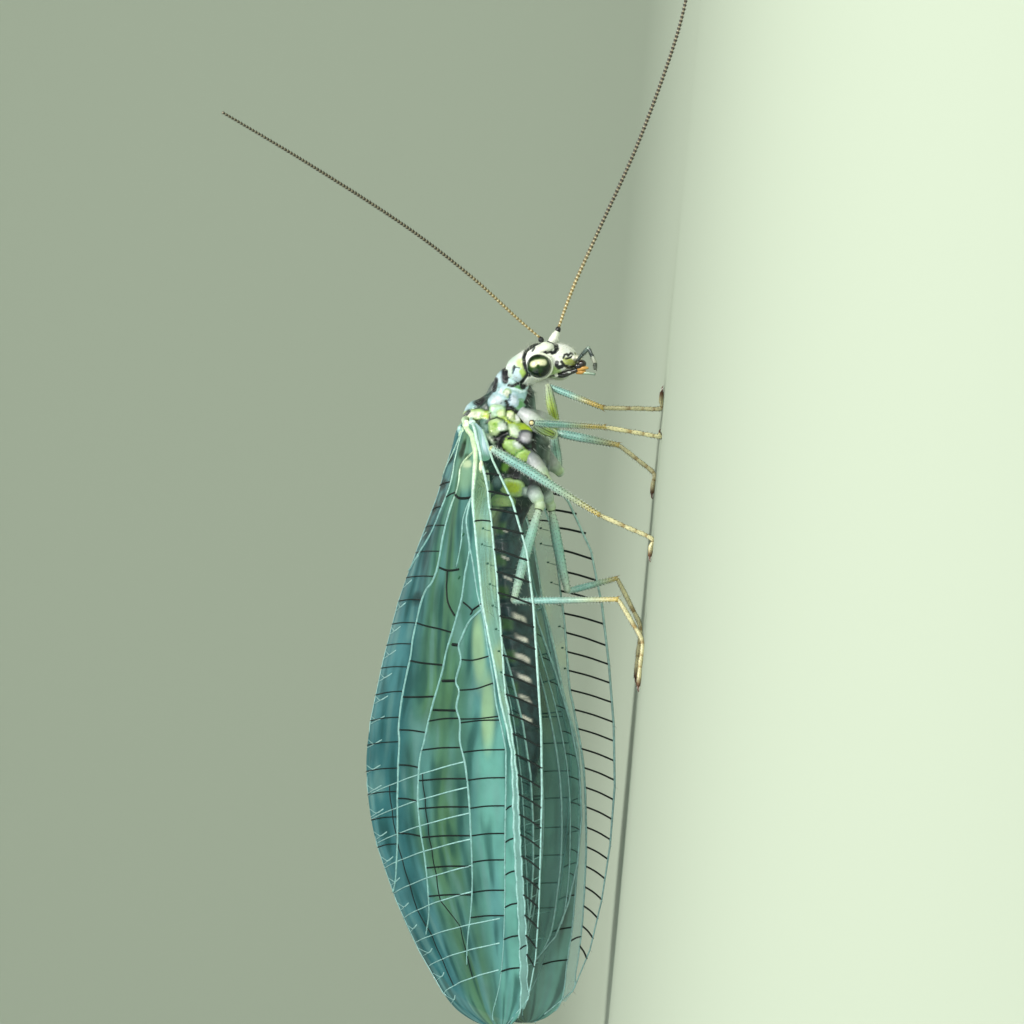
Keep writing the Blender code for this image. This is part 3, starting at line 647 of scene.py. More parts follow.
def fore_venation(wing, rng):
    """Long veins and branches, dark cross veins, and the bristles on them."""
    pale = Piece()
    hairs = Piece()
    for name, (radius, joints) in wing.veins.items():
        base = mixed(VEIN_PALE, VEIN_BASE, 0.9 if name in ("radius", "cubitus") else 0.3)
        if name == "subcosta":
            base = (0.5, 0.7, 0.62)
        front = name in ("costa", "subcosta", "radius")
        plain = VEIN_PALE if front else (0.2, 0.41, 0.38)
        fresh = (0.4, 0.64, 0.58) if front else plain
        spots = lane_points(wing, joints)
        line = [wing.place(*spot) for spot in spots]
        tints = [mixed(mixed(plain, fresh, eased(-9.0, -4.0, spot[0])), base, eased(-1.6, 0.1, spot[0]))
                 for spot in spots]
        root = {"radius": 0.95, "subcosta": 0.45, "costa": 0.15}.get(name, -0.15)
        swell = [radius * (0.8 + root * eased(-1.8, 0.3, spot[0]) + 0.08 * math.sin(spot[0] * 9))
                 * (1 - 0.45 * eased(-7.0, -12.0, spot[0])) for spot in spots]
        pale.tube(line, swell, 6, tints)
        dense = lane_points(wing, joints, 0.045)
        bristles(hairs, wing, dense, rng, (0.05, 0.09, 0.08), 0.075, 0.003, 0.8)
    # Front margin's dark fringe
    fringe = lane_points(wing, wing.veins["costa"][1], 0.035)
    for spot in fringe:
        middle, outward = wing.spot(*spot)
        chordwise = (wing.spot(spot[0], 0.0)[0] - wing.spot(spot[0], 0.02)[0]).normalized()
        root = body(middle)
        lean = Vector((-0.9, 0.0, 0.0)) + chordwise * 0.9 + outward * rng.uniform(-0.4, 0.4)
        uv = (map_spot(0.5 - spot[0] / MAP_REACH, 0.0)[0], 0.02)
        hairs.hair(root, body(middle + lean.normalized() * rng.uniform(0.07, 0.12)), 0.0042,
                   (0.008, 0.01, 0.012), uv)
    dark = Piece()
    rows = []
    steps = list(COSTAL_STEPS) + [(length, -0.28) for length in cross_rows(-5.22, -11.2, 0.43, rng, 0.015)]
    for length, slant in steps:
        radius = 0.021 + 0.005 * eased(-6.0, -1.0, length)
        rows.append((crossing(wing, "subcosta", "costa", length, slant), radius))
    rows += row_veins(wing, CROSS_ROWS, rng)
    rows += SINGLE_VEINS
    for joints, radius in rows:
        spots = vein(dark, wing, joints, radius, VEIN_DARK, None, 5, 1.0, 0.05)
        bristles(hairs, wing, spots, rng, (0.006, 0.008, 0.009), 0.06, 0.0035, 0.9)
    # Outer branches, with two rows of dark steps between them and forks at the edge
    starts = cross_rows(-5.0, -11.6, 0.56, rng, 0.02)
    outer = []
    for length in starts:
        lean = 0.9 + 0.05 * (length + 5)
        first = wing.lane("false_media", length) if length > -11.0 else 0.62
        if length < -9.6:
            first = wing.lane("sector", max(length, -12.2)) + 0.03
        low = max(min(length - lean, -5.0), TIP_LIMIT)
        joints = ((length, first), (length - 0.35 * lean, first + 0.4 * (1 - first)),
                  (max(length - 0.7 * lean, TIP_LIMIT + 0.02), first + 0.75 * (1 - first)), (low, 1.0))
        if length < -6.2:
            vein(pale, wing, joints, 0.017, VEIN_PALE, aged(0.35), 5, 0.7, 0.09)
            outer.append(joints)
    for k in range(len(outer) - 1):
        for row in (1, 2):
            a = outer[k][row]
            b = outer[k + 1][row]
            middle = ((a[0] + b[0]) / 2, (a[1] + b[1]) / 2 + 0.004)
            vein(dark, wing, (a, middle, b), 0.014, VEIN_DARK, None, 5, 1.0)
    # Forks of the hind margin
    for length in cross_rows(-1.9, -12.0, 0.5, rng, 0.04):
        root = 0.9 if length > -10.8 else 0.86
        for fan in (-0.09, 0.09):
            joints = ((length + 0.1, root), (length, root + 0.05), (max(length + fan, TIP_LIMIT), 1.0))
            vein(pale, wing, joints, 0.012, aged(0.2), aged(0.45), 4, 0.8, 0.06)
    # Dark dots in the strip behind the second vein
    for length, share in STRIP_DOTS:
        front = wing.lane("subcosta", length)
        middle = front + share * (wing.lane("radius", length) - front)
        spot = (0.03, 0.1, 0.07)
        vein(dark, wing, ((length + 0.012, middle), (length - 0.022, middle)), 0.026, spot, None, 8, 1.0)
        tail = (length - 0.07, wing.lane("subcosta", length - 0.07))
        vein(dark, wing, ((length - 0.03, middle - 0.01), tail), 0.008, spot, None, 5, 1.0)
    for length, part in ((-1.82, 0.41), (-2.74, 0.435)):
        vein(dark, wing, ((length + 0.03, part), (length - 0.03, part + 0.01)), 0.022, (0.02, 0.1, 0.05),
             None, 8, 0.8)
    edge = lane_points(wing, ((0.56, 1.0), (-12.42, 1.0)), 0.09)
    pale.tube([wing.place(*spot) for spot in edge], 0.014, 5, aged(0.25))
    edge = lane_points(wing, ((0.2, 1.0), (-12.4, 1.0)), 0.06)
    bristles(hairs, wing, edge, rng, (0.06, 0.09, 0.08), 0.07, 0.003)
    return pale, dark, hairs


def hind_venation(wing, rng):
    """Long veins and branches of the hind wing, and its dark cross veins."""
    pale = Piece()
    dark = Piece()
    for radius, joints in wing.veins.values():
        vein(pale, wing, joints, radius, VEIN_PALE, aged(0.15), 6, 0.6, 0.09)
    for joints, radius in row_veins(wing, HIND_ROWS, rng):
        vein(dark, wing, joints, radius, VEIN_DARK, None, 5, 1.0, 0.07)
    for length in cross_rows(-8.0, -10.7, 0.42, rng):
        start = wing.lane("sector", length)
        joints = ((length, start), (max(length - 0.4, -11.0), start + 0.5 * (1 - start)),
                  (max(length - 0.7, -11.1), 1.0))
        vein(pale, wing, joints, 0.014, VEIN_PALE, None, 5, 0.7, 0.09)
    for length in cross_rows(-0.9, -10.9, 0.4, rng):
        joints = ((length + 0.08, 0.88), (length, 0.94), (length - 0.08, 1.0))
        vein(pale, wing, joints, 0.011, VEIN_PALE, None, 4, 0.8, 0.07)
    edge = lane_points(wing, ((-0.66, 1.0), (-11.1, 1.0)), 0.1)
    pale.tube([wing.place(*spot) for spot in edge], 0.012, 5, aged(0.25))
    return pale, dark


# Looks: roughness, coat, mottling's scale and amount, grain and its scale, alpha and specular
membrane_look = tint_material("wing_membrane", 0.46, 0.0, 1.2, 0.18, 0.3, 14.0, 0.88, 0.07)
clear_look = tint_material("wing_front_field", 0.3, 0.0, 1.2, 0.12, 0.2, 14.0, 0.05, 0.2)
strip_look = tint_material("wing_strip", 0.44, 0.0, 1.2, 0.14, 0.04, 10.0, 0.46, 0.1)
root_look = tint_material("wing_root_film", 0.4, 0.0, 2.0, 0.2, 0.15, 14.0, 0.86, 0.16)
hind_look = tint_material("hindwing_membrane", 0.46, 0.0, 1.2, 0.18, 0.3, 14.0, 0.42, 0.07)
vein_look = tint_material("wing_veins", 0.42, 0.1, 12.0, 0.22, 0.4, 60.0)
dark_look = tint_material("wing_cross_veins", 0.55, 0.0, 12.0, 0.15, 0.2, 60.0, 1.0, 0.2)
hair_look = tint_material("wing_hairs", 0.5, 0.0, 12.0, 0.1, 0.0)
for side, word in SIDES:
    rng = random.Random(40 + side)
    fore = Wing(side, False, FORE_MAIN)
    membrane(fore, "forewing_sheet_" + word, 200, 72, membrane_look, "forewing_" + word,
             ("radius", 1.0))
    membrane(fore, "forewing_front_" + word, 130, 10, clear_look, None, (0.0, "subcosta"), (-0.1, -12.45))
    membrane(fore, "forewing_strip_" + word, 130, 8, strip_look, None, ("subcosta", "radius"),
             (-0.2, -12.0), strip_tint)
    membrane(fore, "forewing_root_" + word, 40, 24, root_look, None, (0.0, "radius"), (0.58, -0.24),
             root_tint, 0.15)
    pale, dark, hairs = fore_venation(fore, rng)
    pale.build("forewing_veins_" + word, vein_look, "wings")
    dark.build("forewing_cross_veins_" + word, dark_look, "wings")
    hairs.build("forewing_hairs_" + word, hair_look, "wings", patch_map=True)
    hind = Wing(side, True, HIND_MAIN)
    membrane(hind, "hindwing_sheet_" + word, 110, 40, hind_look, "hindwing_" + word)
    pale, dark = hind_venation(hind, rng)
    pale.build("hindwing_veins_" + word, vein_look, "wings")
    dark.build("hindwing_cross_veins_" + word, dark_look, "wings")


def sight(px, py, side):
    """Body coordinates of a place seen in the frame, at a given distance from the middle plane."""
    rise = (FRAME_ORIGIN[0] - px) / PIXELS_PER_MM
    length = (FRAME_ORIGIN[1] - py) / PIXELS_PER_MM
    height = (rise - AXIS_HEIGHT - side * math.sin(BODY_ROLL)) / math.cos(BODY_ROLL)
    return Vector((length, side, height))


def seen(length, side, height):
    """Where a place on the body shows in the frame, folded to the near side."""
    place = body_point((length, -abs(side), height))
    return FRAME_ORIGIN[0] - place.z * PIXELS_PER_MM, FRAME_ORIGIN[1] - place.x * PIXELS_PER_MM


def segment_distance(x, y, line):
    """Distance of a place in the frame from a line of joints."""
    best = 1e9
    for (ax, ay), (bx, by) in zip(line, line[1:]):
        dx = bx - ax
        dy = by - ay
        size = dx * dx + dy * dy
        t = 0.0 if size == 0 else min(max(((x - ax) * dx + (y - ay) * dy) / size, 0.0), 1.0)
        best = min(best, math.hypot(x - ax - t * dx, y - ay - t * dy))
    return best


def marked(tint, x, y, marks):
    """Tint after each painted mark, and how deep the dark lines cut."""
    cut = 0.0
    for line, width, soft, colour, depth in marks:
        if abs(x - line[0][0]) > 60 or abs(y - line[0][1]) > 60:
            continue
        cover = eased(width + soft, width - soft * 0.4, segment_distance(x, y, line))
        if cover > 0:
            tint = mixed(tint, colour, cover)
            cut = max(cut, depth * cover)
    return tint, cut


BLACK = (0.01, 0.012, 0.014)
WHITE = (0.92, 0.95, 0.93)
CREAM = (0.62, 0.72, 0.46)
LIME = (0.46, 0.62, 0.08)
PALE_BLUE = (0.4, 0.6, 0.64)
GOLD = (0.5, 0.4, 0.1)
AMBER = (0.55, 0.27, 0.05)

# Plates of the thorax in the frame: centre, half sizes, turn, middle colour, rim colour, swell
PLATES = (
    (505, 389, 13, 9, -20, PALE_BLUE, (0.42, 0.62, 0.6), 0.015),
    (499.5, 377, 4.2, 9, 18, (0.46, 0.62, 0.66), (0.26, 0.44, 0.46), 0.015),
    (519, 397, 9, 9, 10, (0.3, 0.5, 0.52), (0.26, 0.44, 0.44), 0.01),
    (520.4, 404, 4.2, 5.0, 0, (0.1, 0.28, 0.1), (0.18, 0.36, 0.22), 0.0),
    (517.6, 387.4, 4.8, 2.2, 15, (0.09, 0.26, 0.08), (0.18, 0.36, 0.2), 0.0),
    (513.2, 399.6, 4.2, 6.4, -8, (0.56, 0.66, 0.74), (0.34, 0.5, 0.56), 0.02),
    (506.8, 392.6, 3.0, 4.2, 30, (0.6, 0.64, 0.5), (0.22, 0.36, 0.18), 0.022),
    (497, 400.4, 8.4, 7.8, 20, (0.5, 0.6, 0.61), (0.32, 0.5, 0.53), 0.03),
    (541, 400, 6, 16, 0, (0.5, 0.6, 0.5), (0.16, 0.24, 0.2), 0.02),
    (466, 405, 8, 6, -40, PALE_BLUE, (0.28, 0.48, 0.48), 0.03),
    (473.6, 414.2, 10, 4.6, -6, (0.68, 0.74, 0.54), (0.34, 0.5, 0.18), 0.04),
    (486, 416.2, 3.2, 5, 0, (0.42, 0.54, 0.05), (0.3, 0.44, 0.07), 0.02),
    (497, 410.6, 7.4, 5.8, 0, (0.4, 0.6, 0.46), (0.3, 0.48, 0.26), 0.025),
    (501.6, 413.2, 3.6, 3.4, 0, (0.58, 0.68, 0.38), (0.4, 0.54, 0.22), 0.028),
    (510.5, 422.2, 9, 2.0, 36, (0.42, 0.56, 0.03), (0.28, 0.42, 0.05), 0.015),
    (525, 428, 7.5, 3.4, 25, (0.38, 0.52, 0.02), (0.26, 0.4, 0.03), 0.02),
    (511.0, 415.0, 4.8, 4.8, 20, (0.62, 0.68, 0.44), (0.36, 0.5, 0.12), 0.032),
    (517.0, 417.6, 3.0, 4.2, -10, (0.66, 0.7, 0.66), (0.34, 0.46, 0.2), 0.026),
    (528.5, 414, 7, 5, 10, (0.54, 0.57, 0.57), (0.32, 0.37, 0.37), 0.035),
    (493.4, 426.4, 8.2, 8.2, 0, (0.36, 0.54, 0.16), (0.46, 0.6, 0.32), 0.062),
    (502.8, 426.4, 4.6, 5.2, 45, (0.53, 0.6, 0.53), (0.38, 0.52, 0.36), 0.055),
    (495.2, 425.0, 2.2, 2.6, 0, (0.2, 0.42, 0.03), (0.4, 0.58, 0.18), 0.056),
    (514.6, 431, 4.0, 7.4, -35, (0.62, 0.72, 0.58), (0.36, 0.5, 0.24), 0.045),
    (512.6, 446.6, 12.6, 7.0, 30, (0.36, 0.54, 0.18), (0.26, 0.44, 0.08), 0.06),
    (517.6, 444.8, 5.2, 3.0, 38, (0.6, 0.66, 0.62), (0.42, 0.56, 0.36), 0.062),
    (524.8, 456.2, 8.4, 6.0, 14, (0.34, 0.52, 0.1), (0.42, 0.6, 0.22), 0.062),
    # Grey ball: its pale core and black rim are painted highlight and shade of its round form.
    (525, 437.2, 6.6, 6.8, 0, (0.5, 0.49, 0.54), (0.05, 0.06, 0.07), 0.07),
    (484, 431, 4.5, 12, 0, (0.2, 0.36, 0.3), (0.08, 0.18, 0.14), 0.005),
    (490.9, 439, 1.4, 6.0, -35, (0.72, 0.82, 0.66), (0.42, 0.58, 0.42), 0.035),
    # Grey coxa base: its dark rim is painted shade.
    (537, 465.5, 8.5, 6.5, 10, (0.48, 0.51, 0.51), (0.18, 0.22, 0.24), 0.045),
    (506, 467.5, 5, 4.5, 0, (0.16, 0.36, 0.04), (0.05, 0.12, 0.03), 0.015),
    (512.5, 487.5, 11.5, 7.8, 12, (0.46, 0.62, 0.04), (0.42, 0.62, 0.26), 0.055),
    (497, 482, 5, 7, 0, (0.16, 0.26, 0.26), (0.04, 0.08, 0.08), 0.025),
    (503, 502, 11.5, 6, 8, (0.54, 0.72, 0.28), (0.3, 0.5, 0.18), 0.035),
    (527, 492, 4.6, 4, 10, (0.62, 0.74, 0.68), (0.24, 0.34, 0.3), 0.03),
    (536, 484, 5, 7, 0, (0.06, 0.07, 0.07), (0.015, 0.018, 0.018), 0.03),
    (468, 432, 10, 11, 0, (0.42, 0.6, 0.28), (0.22, 0.38, 0.2), 0.045),
    (472, 453, 9, 8, 0, (0.5, 0.66, 0.4), (0.22, 0.38, 0.22), 0.045),
    (476, 471, 9, 8, 0, (0.4, 0.58, 0.3), (0.18, 0.34, 0.18), 0.04),
    (482, 489, 10, 8, 0, (0.44, 0.62, 0.32), (0.2, 0.36, 0.2), 0.04),
    (549, 432, 8, 12, 0, (0.36, 0.44, 0.38), (0.1, 0.14, 0.12), 0.035),
    (552, 456, 7, 9, 0, (0.36, 0.44, 0.38), (0.1, 0.14, 0.12), 0.035),
    (549, 482, 7, 10, 0, (0.28, 0.36, 0.32), (0.08, 0.11, 0.1), 0.035),
)
# Dark marks over the plates: line in the frame, half width, softness, colour, depth of cut
TRUNK_MARKS = (
    (((504.6, 367), (505.2, 380)), 3.0, 1.2, BLACK, 0.015),
    (((495.6, 379), (493.6, 389)), 2.6, 1.2, BLACK, 0.015),
    (((491, 392), (487, 396)), 1.8, 1.0, (0.03, 0.06, 0.06), 0.01),
    (((480, 399.5), (477, 402)), 3.6, 1.2, BLACK, 0.015),
    (((469, 411), (463, 418)), 2.0, 1.0, BLACK, 0.02),
    (((507.6, 385.0), (514, 388.2), (521, 390.8)), 1.1, 0.7, (0.56, 0.76, 0.76), 0.0),
    (((533.4, 384), (531.4, 391), (529.0, 397), (527.4, 401.6)), 2.7, 0.6, BLACK, 0.02),
    (((526.0, 374), (526.4, 382)), 2.0, 0.6, BLACK, 0.02),
    (((523.4, 386.2), (527.0, 384.4)), 2.7, 0.6, BLACK, 0.02),
    (((529.4, 377), (530.6, 381), (530.2, 386), (525.4, 390.2), (520.0, 391.6)), 0.9, 0.5,
        (0.5, 0.68, 0.68), 0.0),
    (((485.0, 423.0), (489.4, 419.4), (496.4, 417.2), (503.4, 419.6), (508.0, 425.2), (509.2, 431)),
        0.75, 0.5, (0.02, 0.05, 0.015), 0.05),
    (((489.6, 411.0), (490.4, 418.4)), 0.6, 0.4, (0.04, 0.08, 0.02), 0.03),
    (((506.2, 410), (505.6, 414), (507.2, 418.4), (512, 421.6)), 0.7, 0.5, (0.04, 0.09, 0.01), 0.03),
    (((514.6, 411.4), (514.4, 414), (515.2, 419)), 0.4, 0.4, (0.16, 0.22, 0.08), 0.015),
    (((508.6, 384.6), (512.8, 385.6), (517.2, 383.4), (521.4, 379.8), (526.2, 375.4)),
        1.3, 0.5, BLACK, 0.02),
    (((510.0, 394), (509.4, 400)), 0.9, 0.6, (0.03, 0.09, 0.13), 0.012),
    (((505.8, 400.4), (508.2, 404.6)), 1.4, 0.6, BLACK, 0.015),
    (((501.2, 402.2), (501.8, 402.4)), 0.7, 0.7, (0.05, 0.12, 0.13), 0.008),
    (((508, 408), (512, 407.5), (519, 413), (524, 418)), 2.1, 0.8, BLACK, 0.03),
    (((523, 415), (524, 420)), 2.8, 0.8, BLACK, 0.02),
    (((487, 422), (489.5, 418.5), (489, 414)), 0.7, 0.6, BLACK, 0.03),
    (((501.4, 433.0), (506.4, 432.4)), 1.9, 0.5, BLACK, 0.045),
    (((502.6, 435), (500.4, 439), (498.8, 442.6)), 4.0, 0.5, BLACK, 0.045),
    (((493.4, 437.4), (496.4, 441)), 1.6, 0.5, BLACK, 0.03),
    (((508, 438.2), (514, 438.0), (519.4, 441.2), (526.5, 446.8), (532.6, 450.6), (535, 457)),
        1.1, 0.5, BLACK, 0.035),
    (((534.5, 434), (535.5, 446), (534, 458)), 2.6, 0.6, BLACK, 0.03),
    (((521.4, 449.8), (523.2, 449.6)), 0.9, 0.4, (0.02, 0.06, 0.03), 0.01),
    (((514.6, 456.0), (517.6, 452.2), (522.4, 450.2)), 0.5, 0.5, (0.12, 0.34, 0.05), 0.025),
    (((512, 471), (515, 475)), 4.4, 1.5, BLACK, 0.03),
    (((501, 446), (505, 453), (513, 460), (521, 463), (530, 463)), 1.3, 0.7, BLACK, 0.035),
    (((488, 509), (504, 510), (522, 508)), 2.2, 1.0, BLACK, 0.03),
)

# Stations of the trunk: length, half width, top and bottom
TRUNK = (
    (1.8, 0.1, 0.05, -0.16), (1.76, 0.22, 0.12, -0.28), (1.68, 0.3, 0.19, -0.4), (1.58, 0.35, 0.28, -0.47),
    (1.46, 0.39, 0.39, -0.54), (1.34, 0.43, 0.46, -0.58), (1.22, 0.46, 0.53, -0.6),
    (1.14, 0.475, 0.66, -0.61), (1.08, 0.49, 0.78, -0.61), (0.98, 0.51, 0.89, -0.62),
    (0.86, 0.53, 0.96, -0.63), (0.72, 0.56, 1.03, -0.66), (0.5, 0.67, 1.08, -0.79),
    (0.15, 0.75, 0.98, -0.91), (-0.18, 0.71, 0.84, -0.91), (-0.45, 0.67, 0.77, -0.89),
    (-0.7, 0.65, 0.74, -0.9), (-0.95, 0.56, 0.66, -0.82), (-1.15, 0.46, 0.58, -0.6),
    (-1.35, 0.42, 0.62, -0.42), (-1.6, 0.42, 0.69, -0.3), (-1.95, 0.45, 0.75, -0.28),
    (-2.8, 0.51, 0.77, -0.4), (-3.7, 0.57, 0.73, -0.56), (-5.0, 0.59, 0.69, -0.69),
    (-6.2, 0.55, 0.61, -0.71), (-6.85, 0.47, 0.5, -0.66), (-7.15, 0.37, 0.37, -0.58),
    (-7.34, 0.26, 0.22, -0.48), (-7.45, 0.15, 0.08, -0.38), (-7.5, 0.03, -0.09, -0.21),
)
PLATE_POWER = 2.7
ABDOMEN_START = -1.22
ABDOMEN_END = -7.45
ABDOMEN_SEGMENTS = 9
# Pale spots of the flank: length, turn, reach around and thickness
PALE_SPOTS = (
    (-1.74, 2.16, 0.16, 0.035), (-2.32, 2.14, 0.2, 0.04), (-2.76, 2.16, 0.2, 0.04),
    (-3.62, 2.42, 0.34, 0.085), (-4.06, 2.44, 0.32, 0.075), (-4.48, 2.4, 0.36, 0.08),
    (-4.92, 2.42, 0.32, 0.075), (-5.36, 2.42, 0.32, 0.07), (-5.8, 2.42, 0.3, 0.06),
)


def plated(x, y, rough):
    """Tint and swell of the thorax at a place in the frame."""
    tint = mixed((0.012, 0.02, 0.018), (0.04, 0.09, 0.07), 0.5 + 0.5 * rough)
    swell = -0.035
    for cx, cy, wide, tall, turn, core, rim, rise in PLATES:
        dx = x - cx
        dy = y - cy
        if abs(dx) + abs(dy) > 1.6 * (wide + tall):
            continue
        cosine = math.cos(math.radians(turn))
        sine = math.sin(math.radians(turn))
        across = abs(dx * cosine + dy * sine) / (wide + 1.0)
        along = abs(dy * cosine - dx * sine) / (tall + 1.0)
        reach = (across ** PLATE_POWER + along ** PLATE_POWER) ** (1 / PLATE_POWER) + 0.03 * rough
        cover = eased(1.1, 0.93, reach)
        if cover > 0:
            tint = mixed(tint, mixed(core, rim, eased(0.35, 0.85, reach)), cover)
            swell = swell * (1 - cover) + rise * (1 - 0.6 * min(reach, 1) ** 2) * cover
    return tint, swell


def trunk_section(length):
    """Half width, top and bottom of the trunk."""
    return [between(TRUNK, length, column) for column in (1, 2, 3)]


def trunk_shape(length, turn):
    """Offset and tint of the trunk's skin; turn is 0 on the back and pi below."""
    side = math.sin(turn)
    height = math.cos(turn)
    rough = noise.noise(Vector((length * 6, side * 4, height * 4)))
    if length > ABDOMEN_START:
        half, top, bottom = trunk_section(length)
        x, y = seen(length, half * side, 0.5 * (top + bottom) + 0.5 * (top - bottom) * height)
        x += 0.4 * noise.noise(Vector((x * 0.1, y * 0.1, 5.0)))
        y += 0.4 * noise.noise(Vector((x * 0.1, y * 0.1, 9.0)))
        base, swell = plated(x, y, rough)
        tint, cut = marked(base, x, y, TRUNK_MARKS)
        offset = swell - cut + 0.006 * noise.noise(Vector((x * 0.5, y * 0.5, 2.0)))
        return offset * eased(1.8, 1.66, length), tint
    share = (length - ABDOMEN_START) / (ABDOMEN_END - ABDOMEN_START) * ABDOMEN_SEGMENTS
    within = share - math.floor(share)
    ring = int(min(max(share, 0), ABDOMEN_SEGMENTS - 1))
    groove = eased(0.12, 0.0, within) + eased(0.92, 1.0, within)
    offset = 0.024 * math.sin(math.pi * within) - 0.038 * groove + 0.005 * rough
    fold = eased(0.26, 0.0, abs(turn - 1.8))
    offset -= 0.036 * fold * eased(0.0, 0.2, within) * eased(1.0, 0.8, within)
    offset += 0.012 * eased(0.35, 0.1, abs(turn - 2.15))
    back = mixed((0.42, 0.68, 0.42), (0.58, 0.8, 0.56), 0.5 + 0.5 * rough)
    belly = mixed((0.006, 0.012, 0.02), (0.02, 0.05, 0.06), eased(0.0, 0.8, 0.4 + rough))
    low = eased(1.46, 1.56, turn + 0.1 * noise.noise(Vector((length * 2.2, 7.0, 0.0))))
    tint = mixed(back, belly, low)
    smudge = eased(0.28, 0.12, abs(turn - 1.95)) * eased(0.26, 0.1, abs(within - 0.66))
    tint = mixed(tint, (0.07, 0.16, 0.03), 0.8 * smudge)
    spot = 0.0
    for place, middle, reach, thick in PALE_SPOTS:
        away = length - place + 0.26 * (turn - middle) + 0.02 * rough
        if abs(away) < 0.2:
            around = eased(reach, 0.3 * reach, abs(turn - middle))
            spot = max(spot, around * eased(thick, 0.3 * thick, abs(away)))
    tint = mixed(tint, (0.92, 0.84, 0.78), min(1.3 * spot, 1.0))
    offset += 0.014 * spot
    stripe = eased(0.55, 0.35, turn)
    tint = mixed(tint, (0.05, 0.11, 0.1), 0.6 * stripe * eased(0.25, 0.5, within) * eased(0.9, 0.6, within))
    if ring == 0:
        tint = mixed(tint, mixed(LIME, CREAM, 0.4), 0.6 * eased(1.9, 1.3, turn))
    tint = mixed(tint, (0.015, 0.03, 0.03), 0.6 * min(groove, 1.0))
    return offset, tint


def trunk_skin():
    """One skin over thorax and abdomen."""
    piece = Piece()
    first = TRUNK[0][0]
    last = TRUNK[-1][0]
    rings = []
    length = first
    while length > last:
        rings.append(length)
        length -= 0.018 if length > ABDOMEN_START else 0.03
    rings.append(last)
    sides = 132
    points = []
    tints = []
    for length in rings:
        half, top, bottom = trunk_section(length)
        middle = 0.5 * (top + bottom)
        tall = 0.5 * (top - bottom)
        for j in range(sides):
            turn = 2 * math.pi * j / sides
            fold = min(turn, 2 * math.pi - turn)
            offset, tint = trunk_shape(length, fold)
            points.append(body((length, (half + offset) * math.sin(turn),
                                middle + (tall + offset) * math.cos(turn))))
            tints.append(tint)
    piece.add(points, grid_faces(len(rings), sides) + end_faces(len(rings), sides), tints)
    piece.build("trunk_skin", skin_look, "thorax", ("prothorax", "mesothorax", "metathorax", "abdomen"))


# Head: centre, radii and tilt of each swelling
HEAD_FORMS = (
    ((1.9, 0.0, -0.8), (0.36, 0.62, 0.6), 0.0),
    ((1.74, 0.0, -0.4), (0.34, 0.5, 0.42), 0.0),
    ((1.96, 0.0, -1.15), (0.33, 0.44, 0.42), -8.0),
    ((2.06, 0.0, -0.7), (0.27, 0.4, 0.26), 0.0),
    ((2.04, 0.0, -1.08), (0.26, 0.34, 0.32), 0.0),
    ((1.84, 0.38, -1.24), (0.15, 0.17, 0.24), 0.0),
    ((2.12, 0.24, -0.94), (0.13, 0.16, 0.13), 0.0),
)
HEAD_HEART = Vector((1.9, 0.0, -0.84))
HEAD_BLEND = 0.035
# Painted marks of the head, as those of the trunk
HEAD_MARKS = (
    (((513, 362), (516, 378)), 7, 4, (0.62, 0.78, 0.66), 0.0),
    (((520, 362), (524, 374)), 3.0, 2.5, (0.56, 0.7, 0.28), 0.0),
    (((517.4, 371), (516.4, 379)), 4.0, 1.6, (0.58, 0.74, 0.8), 0.0),
    (((521.5, 371), (524.5, 375.5)), 2.0, 1.4, (0.4, 0.58, 0.12), 0.0),
    (((566.5, 360.5), (572, 362.5)), 3.2, 1.5, (0.62, 0.68, 0.2), 0.0),
    (((547, 377), (552, 374)), 4.0, 2.5, (0.6, 0.76, 0.52), 0.0),
    (((552, 369.5), (557, 371)), 3.6, 2.0, (0.48, 0.66, 0.26), 0.0),
    (((541, 340), (535, 343), (531, 346)), 2.0, 0.7, BLACK, 0.015),
    (((531, 346), (525.6, 350), (523.2, 357), (523.8, 364), (526.2, 370), (529, 375)),
        1.8, 0.6, BLACK, 0.025),
    # Short dark tick left of the near antenna's bulb: painted shade in its socket.
    (((532.5, 350.5), (534.5, 347)), 0.8, 0.5, (0.06, 0.08, 0.08), 0.005),
    (((546.6, 338.0), (552, 341.2), (556.2, 345), (557.4, 348), (555.4, 351.4), (552.4, 352.6)),
        1.7, 0.6, BLACK, 0.015),
    (((556.2, 345), (556.8, 348.6)), 2.3, 0.6, BLACK, 0.01),
    (((563.6, 357.6), (564.8, 354.4), (567.4, 353.4), (568.4, 355.4), (571, 352.6), (573, 353.4)),
        0.9, 0.45, BLACK, 0.006),
    (((566, 358.4), (570, 357.4), (572.4, 355.8), (574.4, 357.6)), 0.8, 0.45, BLACK, 0.006),
    (((557.2, 362.2), (556.6, 365), (559, 367.4), (562, 366.4)), 1.9, 0.6, BLACK, 0.012),
    (((562, 361.6), (565, 365.4), (570, 367), (576, 366), (579, 362.4)), 1.4, 0.6, BLACK, 0.02),
    (((543, 377.6), (549, 377.2), (554, 375.4)), 1.1, 0.6, BLACK, 0.02),
    (((513.9, 366.0), (513.2, 369.4)), 1.2, 0.6, (0.02, 0.03, 0.035), 0.012),
    (((513.2, 369.4), (512.4, 372.8)), 0.6, 0.8, (0.05, 0.1, 0.12), 0.01),
    (((514.6, 366.6), (517.0, 367.0), (519.2, 367.8)), 0.55, 0.5, (0.04, 0.07, 0.06), 0.01),
    (((508.4, 384), (512, 386), (517, 385.4), (522, 381), (526, 375.6), (528.6, 372)),
        1.5, 0.6, BLACK, 0.025),
    (((505.5, 371), (504.5, 381)), 2.0, 1.0, BLACK, 0.01),
    (((575.5, 352), (577, 358), (576, 364)), 0.6, 0.5, (0.25, 0.3, 0.12), 0.015),
)


